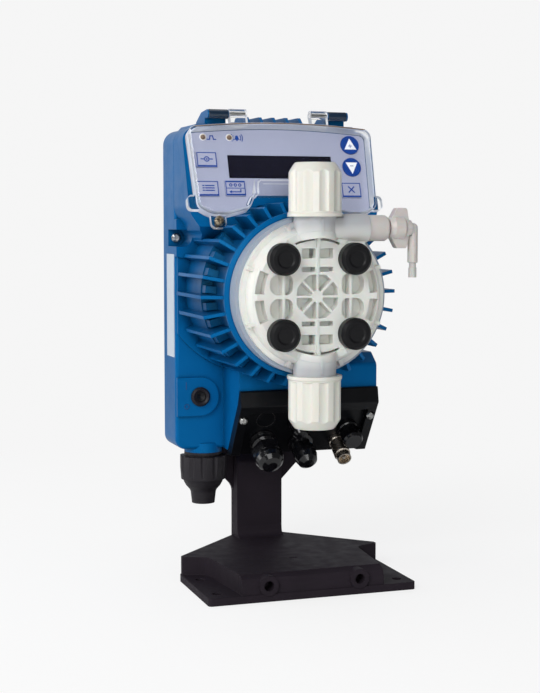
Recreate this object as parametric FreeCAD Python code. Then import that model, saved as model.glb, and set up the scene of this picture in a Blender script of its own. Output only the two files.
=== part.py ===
import FreeCAD, Part
import math
import os

# Solenoid diaphragm metering pump on a foot bracket.
# X runs to the right, Y from the front to the back, Z up, in millimetres.
# The origin is the centre of the four foot holes, on the underside of the foot.

# Housing
HOUSING_WIDTH = 107.0
HOUSING_BOTTOM = 68.5
HOUSING_TOP = 244.5
HOUSING_BACK = 78.0
SEAM_Y = 69.0
BOX_FRONT = 52.0
WALL = 3.0
BOTTOM_CORNER = 6.0
TOP_CORNER = 8.0
EDGE_ROUND = 2.0
SEAL_WIDTH = 1.4
SEAL_DEPTH = 0.8

# Sloping panel at the top of the housing; its own frame lies on the front of the clear cover
PANEL_LEAN = 18.9
PANEL_FOOT_Y = 15.0
PANEL_FOOT_Z = 204.8
COVER_DEPTH = 8.0
COVER_WALL = 1.6
COVER_HALF_WIDTH = 52.2
COVER_LOW_HALF_WIDTH = 50.4
COVER_LOW_U = -2.2
COVER_EDGE_R = 2.0
COVER_TOP = 42.8
COVER_ARCH = 47.2
LOBE_X = 38.8
LOBE_BOTTOM = -6.6
LOBE_HALF_WIDTH = 4.6
LOBE_RUN_X = 22.0
LOBE_RUN_U = -3.4
NOTCH_HALF_WIDTH = 18.0
NOTCH_TOP = 4.6
NOTCH_FRONT_HALF_WIDTH = 16.5
NOTCH_FRONT_TOP = 12.4
PANEL_WALL = 2.8
MEMBRANE_THICK = 0.6
MEMBRANE_MARGIN = COVER_WALL + 0.3
MODULE_BOTTOM = 181.0
MODULE_SIDE_BOTTOM = 199.0
COVER_SCREW_U = -9.4
COVER_SCREW_R = 2.1
COVER_SCREW_REACH = 7.5
COVER_CLEARANCE = 0.5
COVER_SWING = 30.0
EAR_HALF_WIDTH = 4.2
EAR_END_R = 3.4
EAR_THICK = 3.0
TAB_REACH = 55.0
TAB_BOTTOM = -3.0
TAB_TOP = 5.0
TAB_CORNER = 2.6
TAB_THICK = 4.0

# Front panel: places are across and up the sloping panel
DISPLAY = (-29.8, 29.4, 15.8, 28.9)
LED_R = 1.7
LED_PLACES = ((-42.3, 38.9), (-27.6, 38.9))
KEY_PLAY = 0.15
KEY_TRAVEL = 0.4
KEY_PROUD = 0.5
KEY_WIDTH = 11.4
KEY_HEIGHT = 8.8
KEY_ROUND_R = 5.3
KEY_STEM = 3.0
SQUARE_KEYS = {"cal": (-41.5, 26.0), "prog": (-42.0, 9.7), "mode": (-27.1, 10.0), "esc": (39.1, 9.4)}
ROUND_KEYS = {"up": (41.4, 35.7), "down": (41.0, 22.8)}
BOARD_GAP = 2.4
BOARD_THICK = 1.6
BOARD_HALF_WIDTH = 47.0
BOARD_LOW = 5.0
BOARD_HIGH = 41.6
PILLARS = ((-44.0, 17.8), (-44.0, 33.8), (44.0, 15.7))

# Hinge of the clear cover
HINGE_Y = 35.0
ARM_BACK_Y = 58.0
ARM_TOP_LENGTH = 11.0
HINGE_Z = 251.6
HOOK_R = 2.9
BARREL_R = 2.4
HINGE_PIN_R = 1.2
HINGE_PLAY = 0.08
HOOK_INNER_X = 18.3
HOOK_OUTER_X = 27.8
BARREL_GAP = 0.5
BARREL_OUTER_X = 40.0
HINGE_PIN_END_X = 39.0

# Rail and ribs on the top of the housing
RAIL_TOP = 247.4
TOP_RIB_PITCH = 7.5
TOP_RIB_COUNT = 5
TOP_RIB_THICK = 1.6
TOP_RIB_TOP = 251.0

# Drum with cooling fins round the solenoid
AXIS_Z = 156.3
DRUM_R = 42.0
DRUM_STEP_R = 48.0
DRUM_STEP_Y = 19.0
DRUM_FRONT = -9.0
DRUM_BORE_R = 39.5
DRUM_FRONT_WALL = 6.0
RING_R = 43.5
RING_DEPTH = 3.0
FIN_COUNT = 32
FIN_THICK = 1.8
FIN_SIDE_R = 54.0
FIN_TOP_R = 48.5
FIN_ROOT_Y = -6.0
FIN_KINK_Y = -1.0
FIN_END_Y = 47.0
FIN_BLOCK_R = 47.4
FIN_BLOCK_WIDTH = 4.0
COLLAR_SIDE_R = 60.0
COLLAR_TOP_R = 47.6
COLLAR_RAISE = 2.2

# Lower block and the black cover with the connectors
BLOCK_LEFT = -26.0
BLOCK_FRONT = 22.2
BLOCK_TOP = 122.0
CONNECTOR_TOP = 103.5
CONNECTOR_RIDGE_Y = 18.6
CONNECTOR_RIDGE_Z = 95.0
CONNECTOR_LIP_Y = 20.4
CONNECTOR_LIP_Z = 92.5
CONNECTOR_LOW_Y = 38.5
CONNECTOR_LOW_Z = 65.8
CONNECTOR_THICK = 6.0
TRAY_DEPTH = 3.5
TRAY_MARGIN = 5.0
CONNECTOR_SCREW_Z = 87.0
CONNECTOR_SCREW_INSET = 2.9

# Fittings in the connector cover: across, down its slope, and the radius of the hole
PORTS = {
    "gland": (-8.5, 24.0, 5.4),
    "low_cap": (14.0, 26.6, 4.4),
    "high_cap": (9.0, 12.0, 3.4),
    "probe": (36.0, 27.2, 3.4),
    "side_cap": (40.0, 17.0, 4.4),
}

# Power switch
SWITCH_X = -39.9
SWITCH_Z = 97.9
SWITCH_PAD_R = 10.7
SWITCH_PAD_RAISE = 1.8
SWITCH_BEZEL_R = 5.3
SWITCH_BUTTON_R = 2.9
SWITCH_PLAY = 0.1
SWITCH_TRAVEL = 2.0

# Side screw notches
NOTCH_X = 49.4
NOTCH_Z = 185.3
NOTCH_R = 4.6
NOTCH_COLLAR_R = 10.8
NOTCH_FLOOR_Y = 66.0
CASE_SCREW_X = 49.2
CASE_SCREW_BOSS_R = 3.0
CASE_SCREW_LENGTH = 8.5
CASE_SCREW_R = 1.6
CASE_SCREW_HEAD_R = 2.6

# Bare label on the left side
LABEL_WIDTH = 15.0
LABEL_BOTTOM = 119.8
LABEL_TOP = 176.5
LABEL_THICK = 0.3

# Pump head
HEAD_BACK = -18.0
HEAD_FLANGE_R = 39.0
HEAD_FLANGE_THICK = 3.0
HEAD_FRONT = -27.8
HEAD_FRONT_R = 35.0
HEAD_RIB = 1.6
POCKET_DEPTH = 6.0
CHAMBER_R = 22.0
CHAMBER_DEPTH = 3.0
PORT_R = 2.5
BACKPLATE_R = 40.9
DIAPHRAGM_R = 30.5
DIAPHRAGM_THICK = 1.5
DIAPHRAGM_HUB_R = 10.0
DIAPHRAGM_HUB_DEPTH = 3.5
BOLT_OFFSET = 19.1
BOLT_R = 2.9
BOLT_HEAD_R = 4.8
CAP_R = 8.2
CAP_FRONT = -34.6
CAP_INNER_R = 4.0

# Valve necks, cartridges and hose nuts, all on one upright axis
VALVE_Y = -23.5
NECK_R = 11.0
NECK_INNER = 30.8
NECK_REACH = 56.7
NUT_START = 40.4
NUT_OVER_NECK = 11.0
NUT_LENGTH = NECK_REACH - NUT_START + NUT_OVER_NECK
NUT_R = 13.6
NUT_RIM_R = 14.1
NUT_RIM_GAP = 0.4
NUT_PLAY = 0.1
NUT_HOLE_R = 7.5
RING_BORE_R = 7.9
NUT_END_WALL = 3.0
NUT_FLUTES = 10
CARTRIDGE_R = 8.0
CARTRIDGE_LENGTH = 21.0
SEAT_BORE_R = 3.5
DISCHARGE_SEAT_THICK = 3.5
SUCTION_SEAT_THICK = 8.0
BALL_R = 4.76
BALL_LIFT = 1.6
CAGE_BORE_R = 5.4
NIPPLE_FLANGE = 2.0
NIPPLE_R = 5.6
NIPPLE_BORE_R = 3.9

# Bleed valve on the right of the upper neck
BLEED_BELOW_NECK_END = 22.1
BLEED_Z = AXIS_Z + NECK_REACH - BLEED_BELOW_NECK_END
BLEED_BOSS_R = 7.4
BLEED_BOSS_END = 27.8
BLEED_STUB_R = 6.7
BLEED_STUB_END = 38.9
BLEED_NECK_R = 5.0
KNOB_START = 40.7
KNOB_END = 52.6
KNOB_WING_R = 10.4
KNOB_WING_THICK = 5.0
KNOB_WING_LENGTH = 10.2
KNOB_HUB_R = 5.2
KNOB_TIP_R = 4.1
NEEDLE_R = 2.0
BLEED_BORE_R = 1.2
ELBOW_R = 2.65
ELBOW_X = 54.2
ELBOW_DROP = 25.6
ELBOW_BOTTOM = BLEED_Z - ELBOW_DROP
ELBOW_BARB_LENGTH = 7.5
ELBOW_BARB_R = 2.1
ELBOW_BORE_R = 1.2

# Solenoid inside the drum
POLE_THICK = 6.0
YOKE_R = 38.0
YOKE_WALL = 4.0
YOKE_BACK = 46.0
BOBBIN_BORE_R = 14.2
BOBBIN_WALL = 1.3
BOBBIN_FLANGE_R = 33.0
BOBBIN_FLANGE_THICK = 2.0
COIL_R = 32.0
ARMATURE_R = 13.9
ARMATURE_GAP = 2.0
ARMATURE_BACK = 40.0
SHAFT_R = 4.0
BUSH_R = 6.0
RUNNING_PLAY = 0.06
SPRING_R = 6.4
SPRING_WIRE_R = 0.6
SPRING_TURNS = 4
SPRING_SIDES = 12
SPRING_POCKET_R = 8.0
SPRING_POCKET_DEPTH = 9.0

# Mains cable gland under the housing
GLAND_X = -35.2
GLAND_Y = 61.5
GLAND_NECK_R = 10.6
GLAND_NECK_DROP = 2.5
GLAND_STEM_R = 6.4
GLAND_THREAD_R = 9.4
GLAND_NUT_R = 13.0
GLAND_NUT_TOP = 65.4
GLAND_NUT_STEP = 50.4
GLAND_NUT_END = 36.7
GLAND_CONE_END = 47.4
GLAND_BODY_END = 54.0
GLAND_END_R = 6.4
GLAND_BORE_R = 4.8
GLAND_SEAL_BORE_R = 5.0
GLAND_BODY_BORE_R = 5.2

# Main board behind the solenoid
MAIN_BOARD_GAP = 11.0
MAIN_BOARD_LEFT = -30.0
MAIN_BOARD_RIGHT = 44.0
PARTS_ABOVE_FLOOR = 11.5
CAPACITOR_R = 6.0
CAPACITOR_X = 38.0
CAPACITOR_LENGTH = 15.5
RELAY_LEFT = 10.0
RELAY_SIZE = 12.0
TERMINALS_LEFT = -20.0
TERMINALS_RIGHT = 4.0
TERMINALS_DEPTH = 10.0

# Foot bracket
FOOT_HALF_WIDTH = 57.0
FOOT_FRONT = -25.0
FOOT_SIDE_BACK = 31.6
FOOT_THICK = 4.0
DECK_TOP = 13.75
DECK_FRONT = -19.0
DECK_FRONT_HALF_WIDTH = 39.0
DECK_WALL = 2.6
POST_HALF_WIDTH = 13.4
POST_FRONT = 67.0
POST_BACK = 78.6
POST_WALL = 3.0
PLATE_FRONT = 75.0
PLATE_HALF_WIDTH = 41.0
PLATE_TOP = 176.0
SHOULDER_START = 42.0
HOLE_SPACING_X = 100.0
HOLE_SPACING_Y = 31.4
HOLE_R = 2.5
SOCKET_X = 25.0
SOCKET_Z = 8.2
SOCKET_OUTER_R = 5.3
SOCKET_INNER_R = 2.6
PLATE_SCREW_X = 30.0
PLATE_SCREW_LOW = 88.0
PLATE_SCREW_HIGH = 162.0
PLATE_SCREW_R = 2.4
PLATE_SCREW_HEAD_R = 4.4
RECESS_PLAY = 0.4

# Worked-out sizes
HALF_WIDTH = HOUSING_WIDTH / 2
LEAN = math.radians(PANEL_LEAN)
PANEL_FRONT = -COVER_DEPTH
NUT_BORE_R = NECK_R + NUT_PLAY
POLE_FRONT = DRUM_FRONT + DRUM_FRONT_WALL
POLE_BACK = POLE_FRONT + POLE_THICK
BALL_SEAT_HEIGHT = math.sqrt(BALL_R ** 2 - SEAT_BORE_R ** 2)
RECESS_FLOOR = PLATE_FRONT - 0.2
BOARD_FRONT = PANEL_FRONT - PANEL_WALL - BOARD_GAP
CONNECTOR_SLOPE = math.atan2(CONNECTOR_LIP_Z - CONNECTOR_LOW_Z, CONNECTOR_LOW_Y - CONNECTOR_LIP_Y)
BIG = 400.0


def vec(x, y, z):
    return FreeCAD.Vector(x, y, z)


X_AXIS = vec(1, 0, 0)
Y_AXIS = vec(0, 1, 0)
Z_AXIS = vec(0, 0, 1)
VALVE_AXIS_POINT = vec(0, VALVE_Y, 0)
PANEL_OUT = vec(0, -math.cos(LEAN), math.sin(LEAN))
CONNECTOR_OUT = vec(0, -math.sin(CONNECTOR_SLOPE), -math.cos(CONNECTOR_SLOPE))


def block(x0, x1, y0, y1, z0, z1):
    return Part.makeBox(x1 - x0, y1 - y0, z1 - z0, vec(x0, y0, z0))


def rod(radius, start, direction, length):
    return Part.makeCylinder(radius, length, start, direction)


def tube(outer, inner, start, direction, length):
    return rod(outer, start, direction, length).cut(rod(inner, start, direction, length))


def turned(profile, origin, axis):
    """Solid of revolution from (radius, distance along the axis) points."""
    points = [vec(radius, 0, along) for radius, along in profile]
    face = Part.Face(Part.makePolygon(points + points[:1]))
    solid = face.revolve(vec(0, 0, 0), Z_AXIS, 360)
    solid.Placement = FreeCAD.Placement(origin, FreeCAD.Rotation(Z_AXIS, axis))
    return solid


def rounded(corners):
    """Closed wire in the XY plane through (x, y, corner radius) points."""
    edges = []
    starts = []
    count = len(corners)
    for i in range(count):
        before = vec(corners[i - 1][0], corners[i - 1][1], 0)
        here = vec(corners[i][0], corners[i][1], 0)
        after = vec(corners[(i + 1) % count][0], corners[(i + 1) % count][1], 0)
        radius = corners[i][2]
        if radius == 0:
            starts.append((here, here))
            continue
        back = (before - here).normalize()
        ahead = (after - here).normalize()
        half = math.acos(max(-1.0, min(1.0, back.dot(ahead)))) / 2
        reach = radius / math.tan(half)
        centre = here + (back + ahead).normalize() * (radius / math.sin(half))
        middle = centre + (here - centre).normalize() * radius
        first = here + back * reach
        last = here + ahead * reach
        edges.append((i, Part.Arc(first, middle, last).toShape()))
        starts.append((first, last))
    arcs = dict(edges)
    ordered = []
    for i in range(count):
        if i in arcs:
            ordered.append(arcs[i])
        run_start = starts[i][1]
        run_end = starts[(i + 1) % count][0]
        if run_start.distanceToPoint(run_end) > 1e-6:
            ordered.append(Part.LineSegment(run_start, run_end).toShape())
    return Part.Wire(ordered)


def sharp(points):
    return rounded([(x, y, 0) for x, y in points])


def inset(wire, distance):
    return Part.Face(wire).makeOffset2D(-distance).Wires[0]


def prism_z(wire, z0, z1):
    solid = Part.Face(wire).extrude(vec(0, 0, z1 - z0))
    solid.translate(vec(0, 0, z0))
    return solid


def prism_y(wire, y0, y1):
    """The wire's x and y become X and Z, and it is drawn out along Y."""
    solid = Part.Face(wire).extrude(vec(0, 0, y1 - y0))
    solid.Placement = FreeCAD.Placement(vec(0, y1, 0), FreeCAD.Rotation(X_AXIS, 90))
    return solid


def prism_x(wire, x0, x1):
    """The wire's x and y become Y and Z, and it is drawn out along X."""
    solid = Part.Face(wire).extrude(vec(0, 0, x1 - x0))
    turn = FreeCAD.Rotation(Z_AXIS, 90).multiply(FreeCAD.Rotation(X_AXIS, 90))
    solid.Placement = FreeCAD.Placement(vec(x0, 0, 0), turn)
    return solid


def panel_prism(wire, n0, n1):
    """A prism on the sloping panel: x across, y up the panel, n out of it."""
    solid = prism_z(wire, n0, n1)
    tilt = FreeCAD.Rotation(X_AXIS, 90 - PANEL_LEAN)
    solid.Placement = FreeCAD.Placement(vec(0, PANEL_FOOT_Y, PANEL_FOOT_Z), tilt).multiply(solid.Placement)
    return solid


def on_panel(x, u, n):
    y = PANEL_FOOT_Y + u * math.sin(LEAN) - n * math.cos(LEAN)
    z = PANEL_FOOT_Z + u * math.cos(LEAN) + n * math.sin(LEAN)
    return vec(x, y, z)


def box_wire(x0, x1, y0, y1, radius=0):
    return rounded([(x0, y0, radius), (x1, y0, radius), (x1, y1, radius), (x0, y1, radius)])


def disc_wire(x, y, radius):
    return Part.Wire(Part.Circle(vec(x, y, 0), Z_AXIS, radius).toShape())


def fused(shapes):
    shapes = list(shapes)
    if len(shapes) == 1:
        return shapes[0]
    return shapes[0].fuse(shapes[1:]).removeSplitter()


def less(shape, cutters):
    return shape.cut(list(cutters))


def save(name, *solids):
    shape = solids[0] if len(solids) == 1 else Part.makeCompound(list(solids))
    shape.exportStep(os.path.join("parts", name + ".step"))


def symmetric_outline(right_half):
    """Closed outline from the right half's corners, listed from the top to the bottom centre."""
    left_half = [(-x, y, radius) for x, y, radius in reversed(right_half) if x > 0]
    return right_half + left_half


def cover_outline():
    """Outline of the clear cover: arched top, two lobes at the bottom and a notch between them."""
    right_half = [
        (0, COVER_ARCH, 420),
        (COVER_HALF_WIDTH, COVER_TOP, 5),
        (COVER_LOW_HALF_WIDTH, COVER_LOW_U, 5),
        (LOBE_X + LOBE_HALF_WIDTH, LOBE_BOTTOM, 12),
        (LOBE_X - LOBE_HALF_WIDTH, LOBE_BOTTOM, 16),
        (LOBE_RUN_X, LOBE_RUN_U, 5),
        (NOTCH_HALF_WIDTH, NOTCH_TOP, 3),
    ]
    return rounded(symmetric_outline(right_half))


def notch_wedge(grow):
    """Slope over the cover's notch, from its base up to its front face; grow moves it into the cover."""
    shift = grow * math.hypot(NOTCH_FRONT_TOP - NOTCH_TOP, COVER_DEPTH) / COVER_DEPTH
    corners = [(NOTCH_TOP + shift, PANEL_FRONT - 0.2), (NOTCH_FRONT_TOP + shift, 0.2), (-5.0, 0.2),
               (-5.0, PANEL_FRONT - 0.2)]
    points = [on_panel(0, u, n) for u, n in corners]
    half = NOTCH_FRONT_HALF_WIDTH + grow
    return prism_x(sharp([(point.y, point.z) for point in points]), -half, half)


def housing_outline():
    return rounded([
        (-HALF_WIDTH, HOUSING_BOTTOM, BOTTOM_CORNER),
        (HALF_WIDTH, HOUSING_BOTTOM, BOTTOM_CORNER),
        (HALF_WIDTH, HOUSING_TOP, TOP_CORNER),
        (-HALF_WIDTH, HOUSING_TOP, TOP_CORNER),
    ])


def seal_groove(y0, y1):
    outer = inset(housing_outline(), (WALL - SEAL_WIDTH) / 2)
    inner = inset(housing_outline(), (WALL + SEAL_WIDTH) / 2)
    return prism_y(outer, y0, y1).cut(prism_y(inner, y0, y1))


# Foot bracket

def deck_corners():
    """Raised deck of the foot, scalloped round the rear holes and tapered to the post."""
    return symmetric_outline([
        (DECK_FRONT_HALF_WIDTH, DECK_FRONT, 2),
        (DECK_FRONT_HALF_WIDTH + 4.0, 24.0, 7),
        (FOOT_HALF_WIDTH - 0.6, FOOT_SIDE_BACK - 3.0, 0),
        (FOOT_HALF_WIDTH - 0.6, FOOT_SIDE_BACK, 0),
        (POST_HALF_WIDTH + 1.0, POST_BACK - 4.0, 0),
        (POST_HALF_WIDTH, POST_BACK, 0),
    ])


def make_foot():
    plate = prism_z(rounded(symmetric_outline([
        (FOOT_HALF_WIDTH, FOOT_FRONT, 2),
        (FOOT_HALF_WIDTH, FOOT_SIDE_BACK, 2),
        (POST_HALF_WIDTH + 1.0, POST_BACK - 4.0, 0),
        (POST_HALF_WIDTH, POST_BACK, 0),
    ])), 0, FOOT_THICK)
    deck = prism_z(rounded(deck_corners()), 0, DECK_TOP)
    brow = prism_x(sharp([
        (DECK_FRONT + 1.0, 0), (FOOT_FRONT + 0.4, 0), (FOOT_FRONT + 1.2, DECK_TOP - 5.0),
        (FOOT_FRONT + 2.6, DECK_TOP - 1.8), (DECK_FRONT + 1.0, DECK_TOP)]),
        -DECK_FRONT_HALF_WIDTH, DECK_FRONT_HALF_WIDTH)
    sockets = [rod(SOCKET_OUTER_R, vec(x, FOOT_FRONT - 0.4, SOCKET_Z), Y_AXIS, 12.0)
               for x in (-SOCKET_X, SOCKET_X)]
    solid = fused([plate, deck, brow] + sockets)
    hollow_wire = inset(rounded(deck_corners()), DECK_WALL)
    hollow = prism_z(hollow_wire, 0, DECK_TOP - DECK_WALL)
    ribs_x = [block(x - 1.0, x + 1.0, FOOT_FRONT, POST_BACK, 0, DECK_TOP) for x in (-SOCKET_X, 0, SOCKET_X)]
    ribs_y = [block(-BIG, BIG, y - 1.0, y + 1.0, 0, DECK_TOP) for y in (-2.0, 18.0, 38.0)]
    towers = [rod(SOCKET_OUTER_R, vec(x, FOOT_FRONT, SOCKET_Z), Y_AXIS, 14.0)
              for x in (-SOCKET_X, SOCKET_X)]
    post_core = block(-POST_HALF_WIDTH, POST_HALF_WIDTH, POST_FRONT - POST_WALL, POST_BACK, 0, DECK_TOP)
    solid = solid.cut(less(hollow, ribs_x + ribs_y + towers + [post_core]))
    holes = [rod(HOLE_R, vec(sx * HOLE_SPACING_X / 2, sy * HOLE_SPACING_Y / 2, -1), Z_AXIS, DECK_TOP + 2)
             for sx in (-1, 1) for sy in (-1, 1)]
    sinks = [rod(6.2, vec(sx * HOLE_SPACING_X / 2, HOLE_SPACING_Y / 2, FOOT_THICK), Z_AXIS, DECK_TOP)
             for sx in (-1, 1)]
    socket_bores = [rod(SOCKET_INNER_R, vec(x, FOOT_FRONT - 1.0, SOCKET_Z), Y_AXIS, 10.0)
                    for x in (-SOCKET_X, SOCKET_X)]
    slot = block(-2.5, 2.5, 8.0, 9.4, DECK_TOP - DECK_WALL - 1, DECK_TOP + 1)
    return less(solid, holes + sinks + socket_bores + [slot])


def make_bracket():
    """Foot, channel post and the shouldered plate that the housing hangs on."""
    foot = make_foot()
    face = rounded(symmetric_outline([
        (PLATE_HALF_WIDTH, PLATE_TOP, 6),
        (PLATE_HALF_WIDTH, HOUSING_BOTTOM + 2.0, 8),
        (POST_HALF_WIDTH, SHOULDER_START, 8),
        (POST_HALF_WIDTH, 0, 0),
    ]))
    plate = prism_y(face, PLATE_FRONT, POST_BACK)
    post_top = HOUSING_BOTTOM - 2.5
    post_side = rounded([
        (POST_FRONT, 0, 0), (POST_BACK, 0, 0), (POST_BACK, post_top, 0),
        (PLATE_FRONT + 0.5, post_top, 0), (POST_FRONT, post_top - 9.0, 3)])
    post = prism_x(post_side, -POST_HALF_WIDTH, POST_HALF_WIDTH)
    fillet = prism_x(rounded([
        (POST_FRONT - 6.0, DECK_TOP - 1.0, 0), (POST_FRONT + 1.0, DECK_TOP - 1.0, 0),
        (POST_FRONT + 1.0, DECK_TOP + 6.0, 0), (POST_FRONT, DECK_TOP + 6.0, 0),
        (POST_FRONT - 0.6, DECK_TOP + 0.6, 4), (POST_FRONT - 6.0, DECK_TOP, 0)]),
        -POST_HALF_WIDTH, POST_HALF_WIDTH)
    solid = fused([foot, plate, post, fillet])
    channel_half = POST_HALF_WIDTH - POST_WALL
    channels = [block(x0, x1, POST_FRONT + POST_WALL, BIG, FOOT_THICK, SHOULDER_START + 16.0)
                for x0, x1 in ((-channel_half, -1.0), (1.0, channel_half))]
    solid = less(solid, channels)
    webs = [block(-channel_half - 0.5, channel_half + 0.5, POST_FRONT + 1.0, POST_BACK, z - 1.0, z + 1.0)
            for z in (18.0, 34.0, 50.0)]
    solid = fused([solid] + webs)
    screw_holes = [rod(PLATE_SCREW_R + 0.1, vec(x, PLATE_FRONT - 1, z), Y_AXIS, 10)
                   for x in (-PLATE_SCREW_X, PLATE_SCREW_X) for z in (PLATE_SCREW_LOW, PLATE_SCREW_HIGH)]
    return less(solid, screw_holes)


def make_bracket_screws():
    screws = []
    for x in (-PLATE_SCREW_X, PLATE_SCREW_X):
        for z in (PLATE_SCREW_LOW, PLATE_SCREW_HIGH):
            head = turned([(0, 0), (PLATE_SCREW_HEAD_R, 0), (PLATE_SCREW_HEAD_R - 0.4, 1.8),
                           (PLATE_SCREW_HEAD_R - 1.8, 2.6), (0, 2.6)], vec(x, POST_BACK, z), Y_AXIS)
            shank = rod(PLATE_SCREW_R, vec(x, RECESS_FLOOR - 7.0, z), Y_AXIS, POST_BACK - RECESS_FLOOR + 7.2)
            cross = block(x - 0.5, x + 0.5, POST_BACK + 1.4, POST_BACK + 3, z - 2.2, z + 2.2)
            screws.append(fused([head, shank]).cut(cross))
    return screws


# Housing

def case_screw_places():
    return [(side * CASE_SCREW_X, NOTCH_Z) for side in (-1, 1)]


def make_rear_cover():
    shell = prism_y(housing_outline(), SEAM_Y, HOUSING_BACK)
    rim_edges = [edge for edge in shell.Edges
                 if abs(edge.BoundBox.YMin - HOUSING_BACK) < 1e-4 and abs(edge.BoundBox.YMax - HOUSING_BACK) < 1e-4]
    shell = shell.makeFillet(EDGE_ROUND, rim_edges)
    hollow = prism_y(inset(housing_outline(), WALL), SEAM_Y - 1, HOUSING_BACK - WALL)
    recess_half = PLATE_HALF_WIDTH + RECESS_PLAY
    recess = prism_y(rounded([
        (-recess_half, HOUSING_BOTTOM - 5, 0), (recess_half, HOUSING_BOTTOM - 5, 0),
        (recess_half, PLATE_TOP + RECESS_PLAY, 6.4), (-recess_half, PLATE_TOP + RECESS_PLAY, 6.4)]),
        RECESS_FLOOR, BIG)
    well = prism_y(rounded([
        (-recess_half - WALL, HOUSING_BOTTOM, 0), (recess_half + WALL, HOUSING_BOTTOM, 0),
        (recess_half + WALL, PLATE_TOP + WALL, 8), (-recess_half - WALL, PLATE_TOP + WALL, 8)]),
        RECESS_FLOOR - WALL, HOUSING_BACK - 0.5)
    bosses = [rod(4.6, vec(x, SEAM_Y + 0.2, z), Y_AXIS, RECESS_FLOOR - SEAM_Y)
              for x in (-PLATE_SCREW_X, PLATE_SCREW_X) for z in (PLATE_SCREW_LOW, PLATE_SCREW_HIGH)]
    corner_bosses = [rod(CASE_SCREW_BOSS_R, vec(x, SEAM_Y + 0.2, z), Y_AXIS, 8)
                     for x, z in case_screw_places()]
    solid = fused([less(shell, [hollow]), well] + bosses + corner_bosses)
    pilot = [rod(PLATE_SCREW_R, vec(x, SEAM_Y, z), Y_AXIS, 10)
             for x in (-PLATE_SCREW_X, PLATE_SCREW_X) for z in (PLATE_SCREW_LOW, PLATE_SCREW_HIGH)]
    case_pilots = [rod(CASE_SCREW_R, vec(x, NOTCH_FLOOR_Y, z), Y_AXIS, CASE_SCREW_LENGTH)
                   for x, z in case_screw_places()]
    gland_bay = rod(GLAND_NECK_R + 0.3, vec(GLAND_X, GLAND_Y, HOUSING_BOTTOM - 1), Z_AXIS, WALL + 1.3)
    return less(solid, [recess, gland_bay] + pilot + case_pilots)


def module_outline():
    """Front outline of the panel housing, with the two pads under the cover's lobes."""
    return rounded(symmetric_outline([
        (HALF_WIDTH, HOUSING_TOP, TOP_CORNER),
        (HALF_WIDTH, MODULE_SIDE_BOTTOM, 12),
        (LOBE_X + 3.0, MODULE_BOTTOM, 6),
        (LOBE_X - 9.0, MODULE_BOTTOM + 1.5, 6),
        (NOTCH_HALF_WIDTH - 2.0, PANEL_FOOT_Z - 2.0, 4),
    ]))


def ahead_of_panel(n):
    """Everything in front of the plane n of the sloping panel."""
    return panel_prism(box_wire(-BIG, BIG, -BIG, BIG), n, n + BIG)


def make_panel_housing():
    solid = prism_y(module_outline(), 0, BOX_FRONT + 1.0)
    underside = prism_x(sharp([(-BIG, -BIG), (BIG / 4, -BIG), (44.0, 177.5), (19.5, 191.5), (-BIG, 191.5)]),
                        -BIG, BIG)
    return less(solid, [ahead_of_panel(PANEL_FRONT), underside])


def make_rail():
    """Raised rail on the top with the hinge barrels and the short ribs."""
    front = on_panel(0, COVER_ARCH, PANEL_FRONT).y + 0.6
    rail = prism_y(rounded(symmetric_outline([
        (15.0, RAIL_TOP, 0), (45.0, RAIL_TOP - 1.0, 1.5), (47.5, HOUSING_TOP - 1.0, 0)])), front, SEAM_Y)
    barrels = []
    for side in (-1, 1):
        x0 = side * (HOOK_OUTER_X + BARREL_GAP)
        x1 = side * BARREL_OUTER_X
        low, high = min(x0, x1), max(x0, x1)
        arm = prism_x(rounded([
            (HINGE_Y, HINGE_Z - BARREL_R + 0.3, 0), (front + 0.6, HINGE_Z - BARREL_R + 0.3, 0),
            (front + 0.6, HOUSING_TOP, 0), (ARM_BACK_Y, HOUSING_TOP, 0), (ARM_BACK_Y - 2.0, RAIL_TOP + 1.0, 1.0),
            (HINGE_Y + ARM_TOP_LENGTH, HINGE_Z + BARREL_R - 1.0, 4), (HINGE_Y, HINGE_Z + BARREL_R - 0.02, 0)]), low, high)
        barrels.append(fused([arm, rod(BARREL_R, vec(low, HINGE_Y, HINGE_Z), X_AXIS, high - low)]))
    ribs = []
    for i in range(TOP_RIB_COUNT):
        x = (i - (TOP_RIB_COUNT - 1) / 2) * TOP_RIB_PITCH
        ribs.append(prism_x(rounded([
            (front + 0.5, RAIL_TOP - 1.0, 0), (front + 0.5, RAIL_TOP + 0.4, 0), (front + 4.5, TOP_RIB_TOP, 1.5),
            (SEAM_Y - 6.0, TOP_RIB_TOP, 1.5), (SEAM_Y - 1.0, RAIL_TOP - 1.0, 0)]),
            x - TOP_RIB_THICK / 2, x + TOP_RIB_THICK / 2))
    return [rail] + barrels + ribs


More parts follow.
